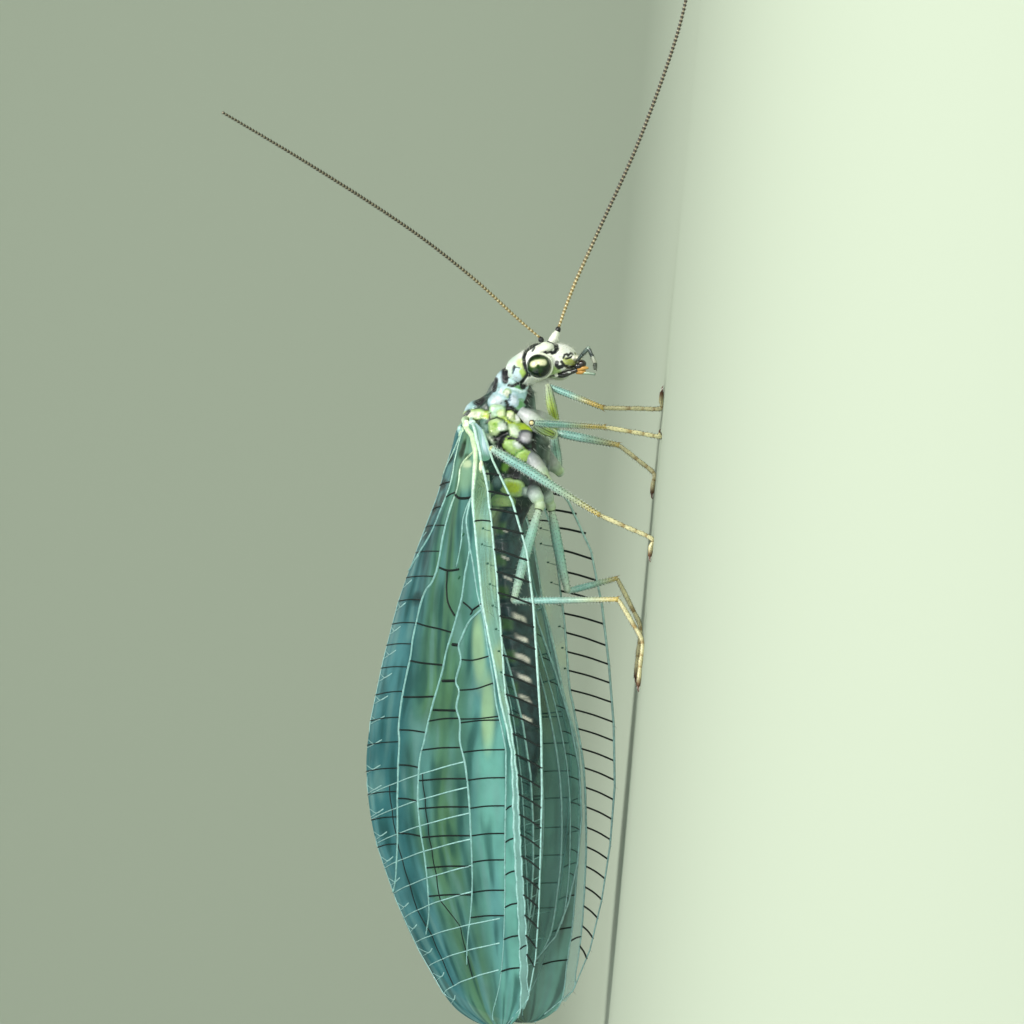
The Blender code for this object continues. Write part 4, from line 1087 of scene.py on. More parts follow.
def head_field(place):
    """Below 0 inside the blended swellings of the head and above 0 outside."""
    total = 0.0
    for centre, radii, tilt in HEAD_FORMS:
        spot = Vector((place.x - centre[0], abs(place.y) - centre[1] if centre[1] else place.y,
                       place.z - centre[2]))
        if tilt:
            spot = Matrix.Rotation(math.radians(-tilt), 3, "Y") @ spot
        size = math.sqrt((spot.x / radii[0]) ** 2 + (spot.y / radii[1]) ** 2 + (spot.z / radii[2]) ** 2)
        total += math.exp(-(size - 1.0) * min(radii) / HEAD_BLEND)
    return -HEAD_BLEND * math.log(total)


def head_reach(ray):
    """Distance from the middle of the head to its surface."""
    low = 0.15
    high = 1.3
    for _ in range(13):
        middle = 0.5 * (low + high)
        if head_field(HEAD_HEART + ray * middle) < 0:
            low = middle
        else:
            high = middle
    return low


def head_skin():
    piece = Piece()
    rows = 120
    sides = 150
    points = []
    tints = []
    for i in range(rows + 1):
        tall = math.pi * i / rows
        for j in range(sides):
            ray = ray_at(tall, 2 * math.pi * j / sides)
            place = HEAD_HEART + ray * head_reach(ray)
            x, y = seen(*place)
            rough = noise.noise(place * 9)
            tint, cut = marked(mixed(WHITE, (0.84, 0.86, 0.74), 0.5 + 0.5 * rough), x, y, HEAD_MARKS)
            points.append(body(place - ray * (cut - 0.004 * rough)))
            tints.append(tint)
    piece.add(points, grid_faces(rows + 1, sides, flip=True), tints)
    piece.build("head_skin", head_look, "body_pale", ("head",))


def blob(piece, centre, radii, tint, axis=None, segments=20, rings=14, paint=None):
    """Ellipsoid in body coordinates, drawn out along an axis."""
    turn = Matrix.Identity(3)
    if axis is not None:
        turn = Vector((0, 0, 1)).rotation_difference(Vector(axis).normalized()).to_matrix()
    points = []
    tints = []
    for i in range(rings + 1):
        tall = math.pi * i / rings
        for j in range(segments):
            spin = 2 * math.pi * j / segments
            local = Vector((radii[0] * math.sin(tall) * math.cos(spin),
                            radii[1] * math.sin(tall) * math.sin(spin), radii[2] * math.cos(tall)))
            place = Vector(centre) + turn @ local
            points.append(body(place))
            tints.append(paint(place, tint) if paint else tint)
    piece.add(points, grid_faces(rings + 1, segments, flip=True), tints)


def bar(piece, spots, radii, tint, end_tint=None, sides=12, steps=4):
    """Round limb through body coordinates."""
    line = spline([Vector(s) for s in spots], steps)
    count = len(line)
    widths = []
    for i in range(count):
        low, rest = stretch(i / (count - 1), len(radii))
        widths.append(radii[low] + (radii[low + 1] - radii[low]) * rest)
    piece.tube([body(p) for p in line], widths, sides, tint, end_tint)


def eye(side, word):
    """Glossy dome with a painted reflection streak, in a pale rim."""
    piece = Piece()

    def painted_reflection(place, tint):
        x, y = seen(*place)
        # The pale streak, its green halo and the dark notch in it are a painted reflection of the lamps.
        streak = ((533.2, 364.2), (536, 363.0), (540, 362.4), (543.6, 362.4))
        highlight = eased(4.2, 1.8, segment_distance(x, y, streak))
        reflection_halo = eased(7.5, 2.0, segment_distance(x, y, ((533, 366), (536, 363), (543, 362))))
        tint = mixed(tint, (0.04, 0.1, 0.015), 0.7 * reflection_halo)
        tint = mixed(tint, (0.02, 0.06, 0.012), 0.6 * eased(4.0, 1.0, math.hypot(x - 540.6, y - 370.6)))
        notch = eased(2.3, 1.2, math.hypot(x - 538.2, y - 366.2))
        return mixed(tint, (0.78, 0.78, 0.5), 0.95 * highlight * (1 - notch))

    centre = (EYE_CENTRE[0], side * EYE_CENTRE[1], EYE_CENTRE[2])
    blob(piece, centre, (0.255, 0.245, 0.262), (0.003, 0.01, 0.006), None, 84, 64, painted_reflection)
    piece.build("eye_dome_" + word, eye_look, "eye", ("eye_" + word,))
    rim = Piece()
    ring = []
    for j in range(41):
        turn = 2 * math.pi * j / 40
        ring.append(Vector((centre[0] + 0.262 * math.cos(turn), side * 0.64,
                            centre[2] + 0.27 * math.sin(turn))))
    rim.tube([body(p) for p in ring], 0.03, 8, (0.7, 0.76, 0.6), None, False)
    rim.build("eye_rim_" + word, head_look, "body_pale")


def jaws():
    """Upper lip, mandibles, maxillae and palps, alike on both sides."""
    piece = Piece()
    gloss = Piece()
    bristle = Piece()
    blob(piece, sight(576.0, 357.5, 0.0), (0.075, 0.21, 0.08), (0.86, 0.86, 0.72), None, 24, 16)
    blob(piece, sight(579.5, 357.5, 0.0), (0.055, 0.17, 0.045), (0.88, 0.86, 0.7), None, 24, 14)
    for side in (-1, 1):
        def at(px, py, out):
            return sight(px, py, side * out)
        blob(gloss, at(582.2, 363.2, 0.12), (0.085, 0.1, 0.095), (0.02, 0.012, 0.01), None, 20, 14)
        blob(gloss, at(578.5, 365.5, 0.15), (0.07, 0.08, 0.1), (0.012, 0.012, 0.014), None, 18, 12)
        bar(piece, (at(578, 369, 0.14), at(583, 367.8, 0.13), at(588.5, 367.4, 0.1)), (0.05, 0.055, 0.02),
            AMBER, (0.62, 0.36, 0.1), 10)
        bar(piece, (at(577, 371.5, 0.12), at(582, 371.5, 0.1), at(586, 370.6, 0.07)), (0.045, 0.05, 0.02),
            AMBER, (0.6, 0.34, 0.1), 10)
        bar(gloss, (at(556, 373.2, 0.24), at(563, 374.0, 0.22), at(570, 371.8, 0.18), at(578, 369.2, 0.14)),
            (0.06, 0.075, 0.06, 0.045), BLACK, (0.03, 0.03, 0.03), 10)
        blob(piece, at(556.8, 374.2, 0.27), (0.05, 0.05, 0.05), (0.8, 0.8, 0.74), None, 14, 10)
        blob(piece, at(569, 371.8, 0.245), (0.025, 0.025, 0.05), (0.7, 0.74, 0.7), None, 12, 8)
        palp = (at(577.5, 360, 0.2), at(582.5, 354, 0.24), at(588.5, 347.8, 0.26), at(592.4, 355.5, 0.27),
                at(595.4, 362.8, 0.27), at(595.6, 369.2, 0.25))
        bar(gloss, palp[:2], (0.03, 0.04), (0.02, 0.03, 0.03), (0.05, 0.08, 0.07), 10, 5)
        bar(gloss, palp[1:3], (0.036, 0.046, 0.044), (0.02, 0.03, 0.03), (0.12, 0.18, 0.15), 10, 5)
        blob(piece, palp[2], (0.046, 0.046, 0.046), (0.24, 0.32, 0.26), None, 12, 8)
        bar(gloss, palp[2:4], (0.04, 0.042, 0.034), (0.06, 0.09, 0.08), (0.02, 0.03, 0.03), 10, 5)
        blob(gloss, palp[3], (0.04, 0.04, 0.04), (0.02, 0.03, 0.03), None, 12, 8)
        bar(piece, palp[3:5], (0.034, 0.044, 0.04), (0.24, 0.28, 0.22), (0.4, 0.42, 0.33), 10, 5)
        bar(gloss, palp[4:6], (0.042, 0.044, 0.026), (0.02, 0.03, 0.02), (0.12, 0.14, 0.11), 10, 5)
        for a, b in zip(palp, palp[1:]):
            for k in range(14):
                turn = 2.4 * k
                out = Vector((math.cos(turn), 0.7 * math.sin(turn), math.sin(1.7 * turn))).normalized()
                root = a.lerp(b, (k + 0.5) / 14) + out * 0.03
                tip = root + (out + (b - a).normalized()).normalized() * 0.055
                bristle.hair(body(root), body(tip), 0.0042, (0.05, 0.06, 0.05),
                             (0.5 + 0.4 * side * k / 14, 0.5))
        bar(piece, (at(582, 372.5, 0.07), at(588, 372.6, 0.09), at(595.4, 373.8, 0.1)),
            (0.034, 0.03, 0.026), (0.36, 0.5, 0.34), (0.2, 0.28, 0.22), 10)
    piece.build("jaw_pale_parts", head_look, "jaws", ("mouthparts",))
    gloss.build("jaw_dark_parts", gloss_look, "jaws")
    bristle.build("palp_hairs", hair_look, "jaws", patch_map=True)


# Feelers: joints as length, depth and height before the pitch
FEELERS = {
    "antenna_right": ((2.46, -0.5, -0.42), (2.84, -0.9, 0.06), (3.72, -1.6, 1.05), (4.75, -2.7, 2.43),
        (5.98, -4.4, 4.41), (7.05, -6.1, 6.28)),
    "antenna_left": ((2.58, -0.06, -0.8), (3.55, 0.2, -1.16), (4.8, 0.34, -1.72), (6.71, 0.4, -2.58),
        (8.99, 0.4, -3.4), (10.54, 0.4, -3.74), (11.4, 0.4, -3.8)),
}
BEAD = 0.088


def feeler(name, joints, side):
    """Bulb at the root, a short dark joint and a long string of beads."""
    base = Piece()
    if side < 0:
        low, high = (sight(546.6, 352.0, -0.38), sight(544.4, 342.0, -0.42))
        bead_start = sight(540.0, 337.2, -0.42)
        knob = sight(541.2, 339.2, -0.42)
        widths = (0.15, 0.185, 0.18, 0.1)
    else:
        low, high = (sight(552.2, 342.6, 0.16), sight(557.4, 330.6, 0.19))
        bead_start = sight(558.8, 326.6, 0.2)
        knob = sight(558.3, 328.6, 0.2)
        widths = (0.112, 0.108, 0.088, 0.064)
    axis = high - low
    spots = []
    radii = []
    tints = []
    for i in range(25):
        t = i / 24
        lane = t * 3
        row = min(int(lane), 2)
        width = widths[row] + (widths[row + 1] - widths[row]) * eased(0, 1, lane - row)
        spots.append(body(low - axis * 0.06 + axis * (1.1 * t)))
        power = 0.45 if side < 0 else 0.16
        radii.append(width * math.sin(math.pi * (0.1 + 0.82 * t)) ** power)
        tints.append(mixed((0.86, 0.88, 0.78), (0.7, 0.78, 0.6), abs(t - 0.5)))
    base.tube(spots, radii, 28, tints)
    if side < 0:
        blob(base, sight(545.2, 351.2, -0.545), (0.034, 0.016, 0.034), BLACK, None, 14, 8)
    blob(base, knob, (0.062, 0.062, 0.07), BLACK, bead_start - knob, 20, 14)
    blob(base, knob.lerp(bead_start, 0.75), (0.04, 0.04, 0.05), (0.1, 0.07, 0.03), bead_start - knob,
         16, 10)
    collar = []
    across = axis.orthogonal().normalized()
    other = axis.normalized().cross(across)
    for j in range(29):
        turn = 2 * math.pi * j / 28
        collar.append(body(low + axis * 0.02 + spoke(across, other, turn) * widths[0] * 0.8))
    base.tube(collar, 0.024, 8, BLACK, None, False)
    base.build(name + "_bulb", head_look, "feelers")
    beads = Piece()
    hairs = Piece()
    rng = random.Random(7 + side)
    start = body_point(bead_start)
    line = spline([start] + [Vector(j) for j in joints[1:]], 60)
    length = 0.0
    path = [(0.0, line[0])]
    for a, b in zip(line, line[1:]):
        length += (b - a).length
        path.append((length, b))
    count = int(length / BEAD)
    at = 0
    spots = []
    radii = []
    tints = []
    for i in range(count):
        share = i / count
        swell = 0.026 if side < 0 else 0.031
        swell = swell + 0.006 * eased(0.0, 0.12, share) - 0.008 * eased(0.6, 1.0, share)
        pale = mixed((0.8, 0.7, 0.42), (0.38, 0.33, 0.22), eased(0.08, 0.35, share))
        dark = mixed((0.26, 0.18, 0.05), (0.022, 0.018, 0.012), eased(0.04, 0.28, share))
        for part, width, mix in ((0.0, 0.62, 0.0), (0.14, 0.7, 0.1), (0.32, 0.98, 0.75), (0.55, 1.1, 1.0),
                                 (0.78, 1.04, 0.9), (0.93, 0.74, 0.3)):
            want = (i + part) * BEAD
            while at < len(path) - 2 and path[at + 1][0] < want:
                at += 1
            low, spot = path[at]
            high, ahead = path[at + 1]
            place = spot.lerp(ahead, (want - low) / max(high - low, 1e-9))
            spots.append(place)
            radii.append(swell * width)
            tints.append(mixed(pale, dark, mix))
        if i < 2:
            continue
        forward = (spots[-1] - spots[-5]).normalized()
        across, other = axes(forward)
        for k in range(7):
            turn = 2 * math.pi * (k + rng.random() * 0.6) / 7
            out = spoke(across, other, turn)
            root = spots[-3] + out * swell
            tip = root + (out * 0.55 + forward).normalized() * 0.045
            hairs.hair(world(root), world(tip), 0.0036, dark, (0.1 + 0.8 * share, 0.3 + 0.4 * k / 7))
    beads.tube([world(p) for p in spots], radii, 12, tints)
    beads.build(name + "_beads", feeler_look, "feelers", (name,))
    hairs.build(name + "_hairs", hair_look, "feelers", patch_map=True)


# Legs: hip in body coordinates, then joints as length, depth and height before the pitch
LEGS = {
    "leg_fore_right": ((0.84, -0.34, -0.4), (0.34, -0.7, -0.72), (0.565, -2.68, -0.25),
        (0.49, -1.2, -1.83), (0.56, -0.86, 0.0), (0.62, -0.5, 0.0)),
    "leg_fore_left": ((0.8, 0.34, -0.4), (0.54, 0.66, -0.8), (1.43, 2.5, -0.62), (0.94, 1.6, -1.83),
        (1.2, 1.45, 0.0), (1.56, 1.3, 0.0)),
    "leg_mid_right": ((-0.04, -0.42, -0.58), (-0.66, -0.84, -0.6), (0.02, -2.62, 0.61), (-1.4, -2.4, -1.7),
        (-1.64, -2.36, 0.0), (-2.02, -2.34, 0.0)),
    "leg_mid_left": ((0.0, 0.42, -0.6), (-0.47, 0.64, -0.86), (0.42, 2.6, -0.75), (0.13, 2.2, -2.18),
        (-0.22, 2.16, 0.0), (-0.66, 2.12, 0.0)),
    "leg_hind_right": ((-0.78, -0.36, -0.64), (-1.16, -0.68, -0.44), (-3.25, -1.4, 0.14),
        (-3.2, -2.3, -2.1), (-3.85, -2.46, 0.0), (-4.8, -2.56, 0.0)),
    "leg_hind_left": ((-0.76, 0.36, -0.64), (-1.15, 0.34, -0.66), (-3.06, 0.8, -1.04), (-2.78, 1.2, -2.12),
        (-3.6, 1.36, 0.0), (-4.7, 1.5, 0.0)),
}
FOOT_HEIGHT = 0.052
CLEARANCE = 0.00001


def limb(piece, start, end, profile, tints, sides=16, rings=26, bow=0.0):
    """Straight limb in metres, with radii and tints read along it."""
    line = []
    widths = []
    shades = []
    lift = Vector((0, 0, 1)) * bow * MM
    for i in range(rings + 1):
        t = i / rings
        line.append(start.lerp(end, t) + lift * math.sin(math.pi * t))
        low, rest = stretch(t, len(profile))
        widths.append(profile[low] + (profile[low + 1] - profile[low]) * eased(0, 1, rest))
        low, rest = stretch(t, len(tints))
        shades.append(mixed(tints[low], tints[low + 1], rest))
    piece.tube(line, widths, sides, shades)
    return line, widths


def limb_rows(line, step):
    """Count of steps along a limb, and its axes."""
    total = sum((b - a).length for a, b in zip(line, line[1:]))
    along = (line[-1] - line[0]).normalized()
    return (max(int(total / MM / step), 1), along) + axes(along)


def limb_spot(line, widths, share):
    """Middle and radius of a limb at a share of its length."""
    low, rest = stretch(share, len(line))
    return line[low].lerp(line[low + 1], rest), widths[low] + (widths[low + 1] - widths[low]) * rest


def spinules(hairs, line, widths, rng, rows, step, length, tint, lean=0.9):
    """Rows of short bristles along a limb."""
    count, along, across, other = limb_rows(line, step)
    for i in range(count):
        for row in range(rows):
            t = (i + (row % 2) * 0.5 + rng.uniform(-0.15, 0.15)) / count
            spot, width = limb_spot(line, widths, min(max(t, 0.0), 1.0))
            out = spoke(across, other, 2 * math.pi * (row + rng.uniform(-0.12, 0.12)) / rows)
            root = spot + out * width * 0.96 * MM
            tip = root + (out + along * lean).normalized() * length * rng.uniform(0.7, 1.2) * MM
            root.z = max(root.z, CLEARANCE)
            tip.z = max(tip.z, CLEARANCE)
            hairs.hair(root, tip, 0.0058, tint, (0.05 + 0.9 * t, 0.05 + 0.9 * row / rows))


def dark_studs(hairs, line, widths, step, size, tint, rows=6):
    """Rows of short dark studs along a limb."""
    count, along, across, other = limb_rows(line, step)
    for i in range(1, count):
        for row in range(rows):
            t = (i + 0.5 * (row % 2)) / (count + 1)
            spot, width = limb_spot(line, widths, t)
            out = spoke(across, other, 2 * math.pi * (row + 0.5) / rows)
            hairs.hair(spot + out * width * 0.93 * MM, spot + out * (width + 0.012) * MM, size, tint,
                       (0.05 + 0.9 * t, 0.05 + 0.9 * row / rows), 5)


def leg(name, joints):
    """Coxa, trochanter, femur, knee, tibia with its spurs, five-part foot and claws."""
    piece = Piece()
    hairs = Piece()
    dark = Piece()
    rng = random.Random(len(name) + int(abs(joints[1][0]) * 100))
    hip = body(joints[0])
    trochanter, knee, ankle = (world(j) for j in joints[1:4])
    heel, toe = ((Vector((joint[0], joint[1], 0)) + Vector((SHIFT.x, SHIFT.y, FOOT_HEIGHT))) * MM
                 for joint in joints[4:6])
    fore = "fore" in name
    mid = "mid" in name
    pale = (0.6, 0.74, 0.58)
    stud_scale = 1.0 if fore or mid else 0.5
    # Each coxa is darkest at the hip: painted shade where it meets the body.
    if fore:
        coxa_tints = ((0.34, 0.38, 0.38), (0.54, 0.57, 0.56), (0.44, 0.52, 0.44), (0.4, 0.54, 0.26),
                      (0.44, 0.6, 0.1))
    elif mid:
        coxa_tints = ((0.05, 0.06, 0.07), (0.26, 0.29, 0.3), (0.46, 0.49, 0.48), (0.44, 0.56, 0.42),
                      mixed(pale, LIME, 0.4))
    else:
        coxa_tints = ((0.05, 0.06, 0.06), (0.2, 0.26, 0.25), (0.58, 0.68, 0.64), (0.56, 0.72, 0.58),
                      mixed(pale, LIME, 0.4))
    limb(piece, hip, trochanter, (0.12, 0.165, 0.15, 0.095), coxa_tints, 24, 24)
    way = (knee - trochanter).normalized()
    joint = trochanter + way * 0.16 * MM
    limb(piece, trochanter - way * 0.05 * MM, joint, (0.09, 0.115, 0.085),
         (pale, mixed(pale, LIME, 0.35)), 18, 8)
    dark.tube([joint - way * 0.02 * MM, joint], [0.09, 0.086], 18, (0.05, 0.08, 0.05))
    aqua = (0.34, 0.62, 0.52)
    if fore:
        femur_tints = ((0.5, 0.68, 0.05), (0.54, 0.72, 0.1), (0.52, 0.7, 0.22), mixed(pale, LIME, 0.3),
                       mixed(pale, GOLD, 0.3))
    else:
        femur_tints = (pale, aqua, (0.3, 0.58, 0.5), (0.42, 0.66, 0.56), pale)
    profile = (0.07, 0.102, 0.112, 0.105, 0.09, 0.07)
    line, widths = limb(piece, joint, knee, profile, femur_tints, 18, 34, 0.02)
    dark_studs(hairs, line, widths, 0.085, 0.022 * stud_scale, (0.004, 0.014, 0.012))
    spinules(hairs, line, widths, rng, 6, 0.09, 0.04, (0.05, 0.1, 0.08))
    spinules(hairs, line, widths, rng, 6, 0.1, 0.065, (0.7, 0.8, 0.72), 0.6)
    size = 0.78 if fore else 0.72
    piece.tube([knee + way * s * MM for s in (-0.075, -0.05, -0.02, 0.01, 0.035, 0.05)],
               [size * r for r in (0.066, 0.078, 0.084, 0.078, 0.05, 0.016)], 18,
               (0.62, 0.54, 0.26) if fore else (0.46, 0.5, 0.2) if mid else pale)
    if fore:
        dark.tube([knee + way * s * MM for s in (0.0, 0.014, 0.028)], [0.07, 0.066, 0.05], 18,
                  (0.04, 0.03, 0.02))
    teal = (0.26, 0.52, 0.47)
    gold = (0.66, 0.5, 0.14)
    tibia_tints = (mixed(teal, pale, 0.5), teal, (0.3, 0.56, 0.5), mixed(teal, gold, 0.45 if fore else 0.2),
                   gold if fore else mixed(teal, gold, 0.5), gold)
    profile = (0.058, 0.072, 0.07, 0.064, 0.056, 0.05)
    if mid:
        profile = (0.062, 0.092, 0.094, 0.084, 0.066, 0.052)
    line, widths = limb(piece, knee, ankle, profile, tibia_tints, 18, 36)
    dark_studs(hairs, line, widths, 0.07, 0.017 * stud_scale, (0.003, 0.008, 0.007))
    spinules(hairs, line, widths, rng, 5, 0.07, 0.042, (0.02, 0.04, 0.035))
    spinules(hairs, line, widths, rng, 6, 0.075, 0.065, (0.76, 0.84, 0.78), 0.7)
    down = (ankle - knee).normalized()
    for turn in (-1, 1):
        root = ankle - down * 0.05 * MM
        out = down.cross(Vector((0, 0, 1))).normalized() * turn * 0.045 * MM
        hairs.hair(root + out, root + out * 1.8 + down * 0.13 * MM, 0.012, (0.34, 0.2, 0.05), (0.5, 0.5))
    sag = Vector((0, 0, 0.00002))
    foot = spline([ankle, ankle.lerp(heel, 0.55) - sag, heel, heel.lerp(toe, 0.5), toe], 16)
    lengths = [0.0]
    for a, b in zip(foot, foot[1:]):
        lengths.append(lengths[-1] + (b - a).length)
    shares = (0.0, 0.36, 0.54, 0.68, 0.8, 1.0)
    radii = []
    tints = []
    for length in lengths:
        share = min(length / lengths[-1], 0.999)
        part = next(k for k in range(5) if shares[k] <= share < shares[k + 1])
        within = (share - shares[part]) / (shares[part + 1] - shares[part])
        radii.append(0.03 + 0.02 * math.sin(math.pi * (0.08 + 0.8 * within)) ** 0.7)
        shade = mixed((0.66, 0.62, 0.34), (0.36, 0.25, 0.09), eased(0.72, 0.98, within))
        tints.append(mixed(shade, (0.12, 0.05, 0.02), eased(0.86, 1.0, share)))
    piece.tube(foot, radii, 14, tints)
    spinules(hairs, foot, radii, rng, 8, 0.06, 0.045, (0.05, 0.035, 0.02))
    ahead = (toe - foot[-4]).normalized()
    beside = ahead.cross(Vector((0, 0, 1))).normalized()
    for turn in (-1, 1):
        claw = [toe + beside * turn * 0.02 * MM, toe + (ahead * 0.07 + beside * turn * 0.07) * MM,
                toe + (ahead * 0.12 + beside * turn * 0.09 - Vector((0, 0, 0.028))) * MM]
        dark.tube(spline(claw, 4), [0.02, 0.019, 0.018, 0.016, 0.014, 0.012, 0.009, 0.006, 0.003], 8,
                  (0.1, 0.03, 0.012))
    pad = [toe, toe + (ahead * 0.05 - Vector((0, 0, 0.01))) * MM,
           toe + (ahead * 0.085 - Vector((0, 0, 0.02))) * MM]
    piece.tube(pad, [0.028, 0.034, 0.018], 10, (0.78, 0.76, 0.7))
    piece.build(name + "_limb", leg_look, "legs", (name,))
    dark.build(name + "_claws", gloss_look, "legs")
    hairs.build(name + "_spines", hair_look, "legs", patch_map=True)


def trunk_hairs():
    """Fine pale hairs over the thorax and shorter dark ones over the abdomen."""
    piece = Piece()
    rng = random.Random(3)
    for _ in range(3000):
        length = rng.uniform(-7.35, 1.5)
        turn = rng.uniform(0, 2 * math.pi)
        half, top, bottom = trunk_section(length)
        fold = min(turn, 2 * math.pi - turn)
        offset = trunk_shape(length, fold)[0] - 0.004
        out = Vector((0.0, math.sin(turn), math.cos(turn)))
        root = Vector((length, (half + offset) * out.y,
                       0.5 * (top + bottom) + (0.5 * (top - bottom) + offset) * out.z))
        chest = length > ABDOMEN_START
        reach = rng.uniform(0.08, 0.2) if chest else rng.uniform(0.05, 0.11)
        lean = Vector((rng.uniform(-1.1, -0.2), rng.uniform(-0.3, 0.3), rng.uniform(-0.3, 0.3)))
        tip = root + (out + lean).normalized() * reach
        shade = (0.34, 0.42, 0.36) if chest else (0.06, 0.09, 0.08)
        piece.hair(body(root), body(tip), 0.0036, shade,
                   (0.05 + 0.9 * (length + 7.5) / 9.2, 0.05 + 0.9 * turn / (2 * math.pi)))
    piece.build("trunk_hairs", hair_look, "thorax", patch_map=True)


def head_hairs():
    """Sparse short hairs on the face, the cheeks and the back of the head."""
    piece = Piece()
    rng = random.Random(5)
    for _ in range(520):
        tall = math.acos(rng.uniform(-1, 1))
        turn = rng.uniform(0, 2 * math.pi)
        ray = ray_at(tall, turn)
        root = HEAD_HEART + ray * (head_reach(ray) - 0.004)
        lean = Vector((rng.uniform(-0.4, 0.4), rng.uniform(-0.4, 0.4), rng.uniform(-0.9, 0.0)))
        tip = root + (ray + lean).normalized() * rng.uniform(0.06, 0.13)
        piece.hair(body(root), body(tip), 0.0042, (0.5, 0.54, 0.44),
                   (0.05 + 0.9 * turn / (2 * math.pi), 0.05 + 0.9 * tall / math.pi))
    piece.build("head_hairs", hair_look, "body_pale", patch_map=True)


def wing_roots(side, word):
    """Stems that carry the long veins into the thorax, with their small hinge plates."""
    piece = Piece()
    fore = Wing(side, False, FORE_MAIN)
    hind = Wing(side, True, HIND_MAIN)
    stems = ((fore, "subcosta", (0.7, 0.46, 0.66), 0.04), (fore, "radius", (0.7, 0.4, 0.82), 0.058),
             (fore, "anal_one", (0.56, 0.46, 0.88), 0.03), (fore, "anal_two", (0.52, 0.44, 0.92), 0.026),
             (hind, "costa", (-0.48, 0.6, 0.3), 0.03), (hind, "radius", (-0.5, 0.6, 0.38), 0.038),
             (hind, "media", (-0.56, 0.58, 0.46), 0.03), (hind, "cubitus", (-0.62, 0.54, 0.54), 0.026))
    for wing, name, root, radius in stems:
        joints = wing.veins[name][1]
        spots = [wing.spot(*joint)[0] for joint in joints[:2]]
        anchor = Vector((root[0], side * root[1], root[2]))
        line = spline([anchor, anchor.lerp(spots[0], 0.55) + Vector((0.02, side * 0.03, 0.03)), spots[0],
                       spots[0].lerp(spots[1], 0.25)], 6)
        shade = (0.5, 0.7, 0.66) if name == "subcosta" else VEIN_BASE
        piece.tube([body(p) for p in line], [radius] * len(line), 10, shade, mixed(VEIN_PALE, shade, 0.5))
    for length, part, radii, tint in ((0.56, 0.66, (0.1, 0.045, 0.075), (0.84, 0.88, 0.68)),
                                      (0.5, 0.6, (0.12, 0.045, 0.065), (0.8, 0.86, 0.62)),
                                      (0.6, 0.28, (0.06, 0.04, 0.08), (0.56, 0.74, 0.68)),
                                      (-0.36, 0.19, (0.14, 0.035, 0.05), (0.76, 0.82, 0.56)),
                                      (0.44, 0.86, (0.1, 0.04, 0.06), (0.3, 0.52, 0.48))):
        blob(piece, fore.spot(length, part)[0], radii, tint, None, 18, 12)
    for place, radii, tint in (((-0.46, 0.6, 0.42), (0.12, 0.08, 0.12), (0.44, 0.62, 0.38)),
                               ((-0.62, 0.56, 0.54), (0.13, 0.08, 0.09), (0.4, 0.58, 0.36))):
        blob(piece, (place[0], side * place[1], place[2]), radii, tint, None, 18, 12)
    piece.build("wing_roots_" + word, skin_look, "wings")


skin_look = tint_material("trunk_cuticle", 0.38, 0.25, 9.0, 0.22, 0.5, 55.0)
head_look = tint_material("head_cuticle", 0.34, 0.2, 12.0, 0.06, 0.2, 70.0)
gloss_look = tint_material("dark_cuticle", 0.18, 0.6, 12.0, 0.15, 0.15, 70.0)
eye_look = tint_material("eye_lens", 0.16, 0.35, 20.0, 0.1, 0.0, 40.0, 1.0, 0.3)
feeler_look = tint_material("feeler_cuticle", 0.45, 0.1, 15.0, 0.18, 0.3, 70.0)
leg_look = tint_material("leg_cuticle", 0.4, 0.15, 14.0, 0.15, 0.4, 80.0)

trunk_skin()
trunk_hairs()
for side, word in SIDES:
    wing_roots(side, word)
head_skin()
head_hairs()
for side, word in SIDES:
    eye(side, word)
jaws()
for side, word in SIDES:
    feeler("antenna_" + word, FEELERS["antenna_" + word], side)
for name, joints in LEGS.items():
    leg(name, joints)


# Camera level with the model, turned so that the body stands upright in the frame
SENSOR = 36.0
PICTURE_WIDTH = 1024
focus = world((-1.333, -1.2, 0.172))
distance = 0.17
camera_data = bpy.data.cameras.new("camera")
camera_data.lens = SENSOR * distance / (PICTURE_WIDTH / PIXELS_PER_MM * MM)
camera_data.sensor_width = SENSOR
camera_data.sensor_fit = "HORIZONTAL"
camera_data.clip_start = 0.01
camera_data.clip_end = 5.0
camera = bpy.data.objects.new("camera", camera_data)
bpy.context.scene.collection.objects.link(camera)
towards = Vector((0.0, 1.0, 0.0))
upwards = PITCH_MATRIX @ Vector((1.0, 0.0, 0.0))
rightwards = towards.cross(upwards)
turn = Matrix((rightwards, upwards, -towards)).transposed()
camera.matrix_world = Matrix.Translation(focus - towards * distance) @ turn.to_4x4()
bpy.context.scene.camera = camera

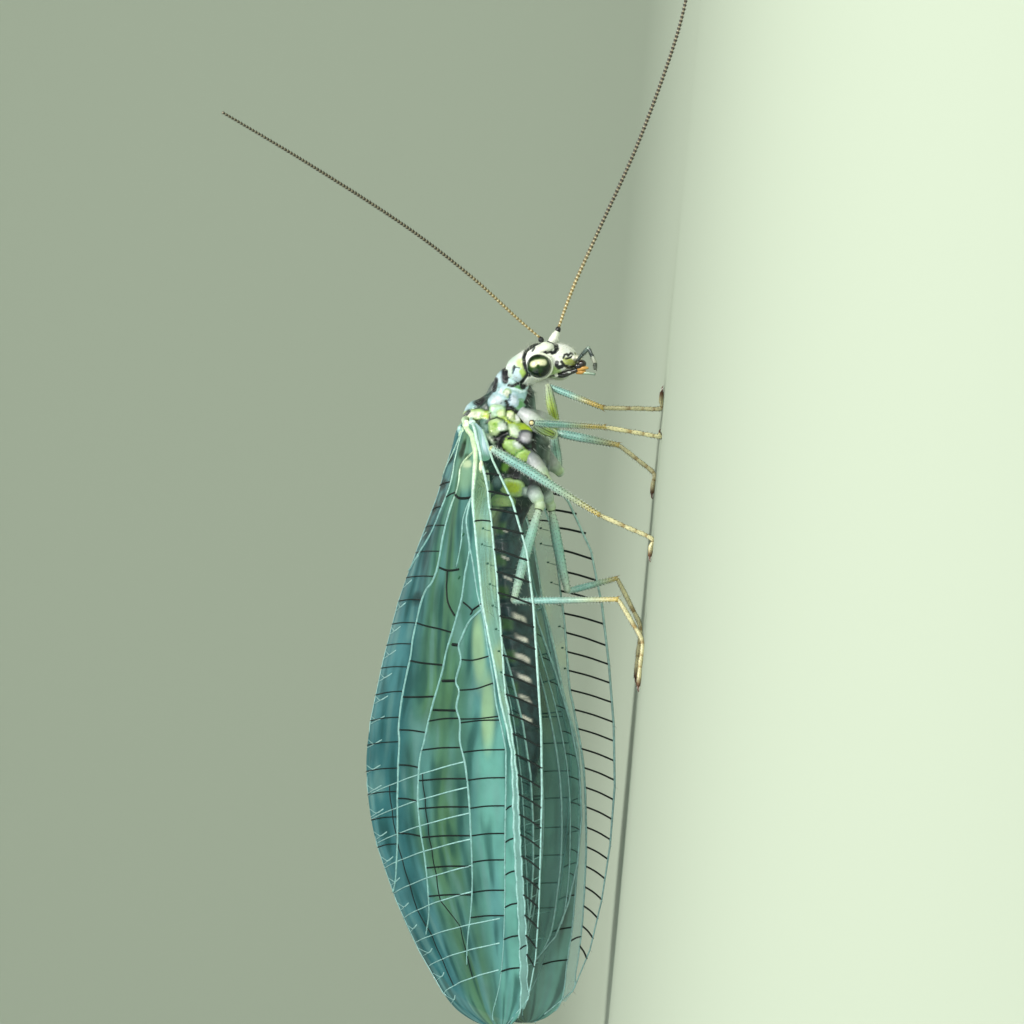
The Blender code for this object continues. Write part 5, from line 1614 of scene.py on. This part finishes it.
# Floor that curves up into a pale backdrop
floor_mesh = bpy.data.meshes.new("floor")
bend_start = 0.1
bend_radius = 0.12
bend_steps = 12
floor_near = -0.5
floor_half = 0.6
backdrop_top = 0.6
profile = [(floor_near, 0.0), (bend_start, 0.0)]
for step in range(1, bend_steps + 1):
    angle = math.pi / 2 * step / bend_steps
    profile.append((bend_start + bend_radius * math.sin(angle), bend_radius * (1 - math.cos(angle))))
profile.append((bend_start + bend_radius, backdrop_top))
floor_points = []
for x in (-floor_half, floor_half):
    floor_points += [(x, y, z) for y, z in profile]
rows = len(profile)
floor_mesh.from_pydata(floor_points, [], [(i, i + rows, i + rows + 1, i + 1) for i in range(rows - 1)])
floor_mesh.shade_smooth()
floor = bpy.data.objects.new("floor", floor_mesh)
bpy.context.scene.collection.objects.link(floor)
floor_look = bpy.data.materials.new("floor")
floor_look.use_nodes = True
floor_shader = floor_look.node_tree.nodes["Principled BSDF"]
floor_shader.inputs["Base Color"].default_value = (0.42, 0.49, 0.38, 1.0)
floor_shader.inputs["Roughness"].default_value = 0.9
floor_mesh.materials.append(floor_look)


def area_light(name, place, target, size, power, colour):
    data = bpy.data.lights.new(name, "AREA")
    data.size = size
    data.energy = power
    data.color = colour
    lamp = bpy.data.objects.new(name, data)
    bpy.context.scene.collection.objects.link(lamp)
    lamp.location = place
    lamp.rotation_euler = (Vector(target) - Vector(place)).to_track_quat("-Z", "Y").to_euler()


area_light("key", (0.06, -0.12, 0.16), (0, 0, 0), 0.07, 0.44, (1.0, 0.98, 0.94))
area_light("front", (0.08, -0.15, 0.02), (0, 0, 0.003), 0.06, 0.13, (1.0, 1.0, 0.97))
area_light("fill", (-0.12, -0.1, 0.08), (0, 0, 0), 0.16, 0.1, (0.92, 0.97, 1.0))
area_light("rim", (0.02, 0.14, 0.14), (0, 0, 0), 0.1, 0.05, (0.98, 1.0, 0.96))
world_look = bpy.data.worlds.new("studio")
world_look.use_nodes = True
world_look.node_tree.nodes["Background"].inputs["Color"].default_value = (0.86, 0.9, 0.86, 1.0)
world_look.node_tree.nodes["Background"].inputs["Strength"].default_value = 0.22
bpy.context.scene.world = world_look
bpy.context.scene.view_settings.view_transform = "Standard"
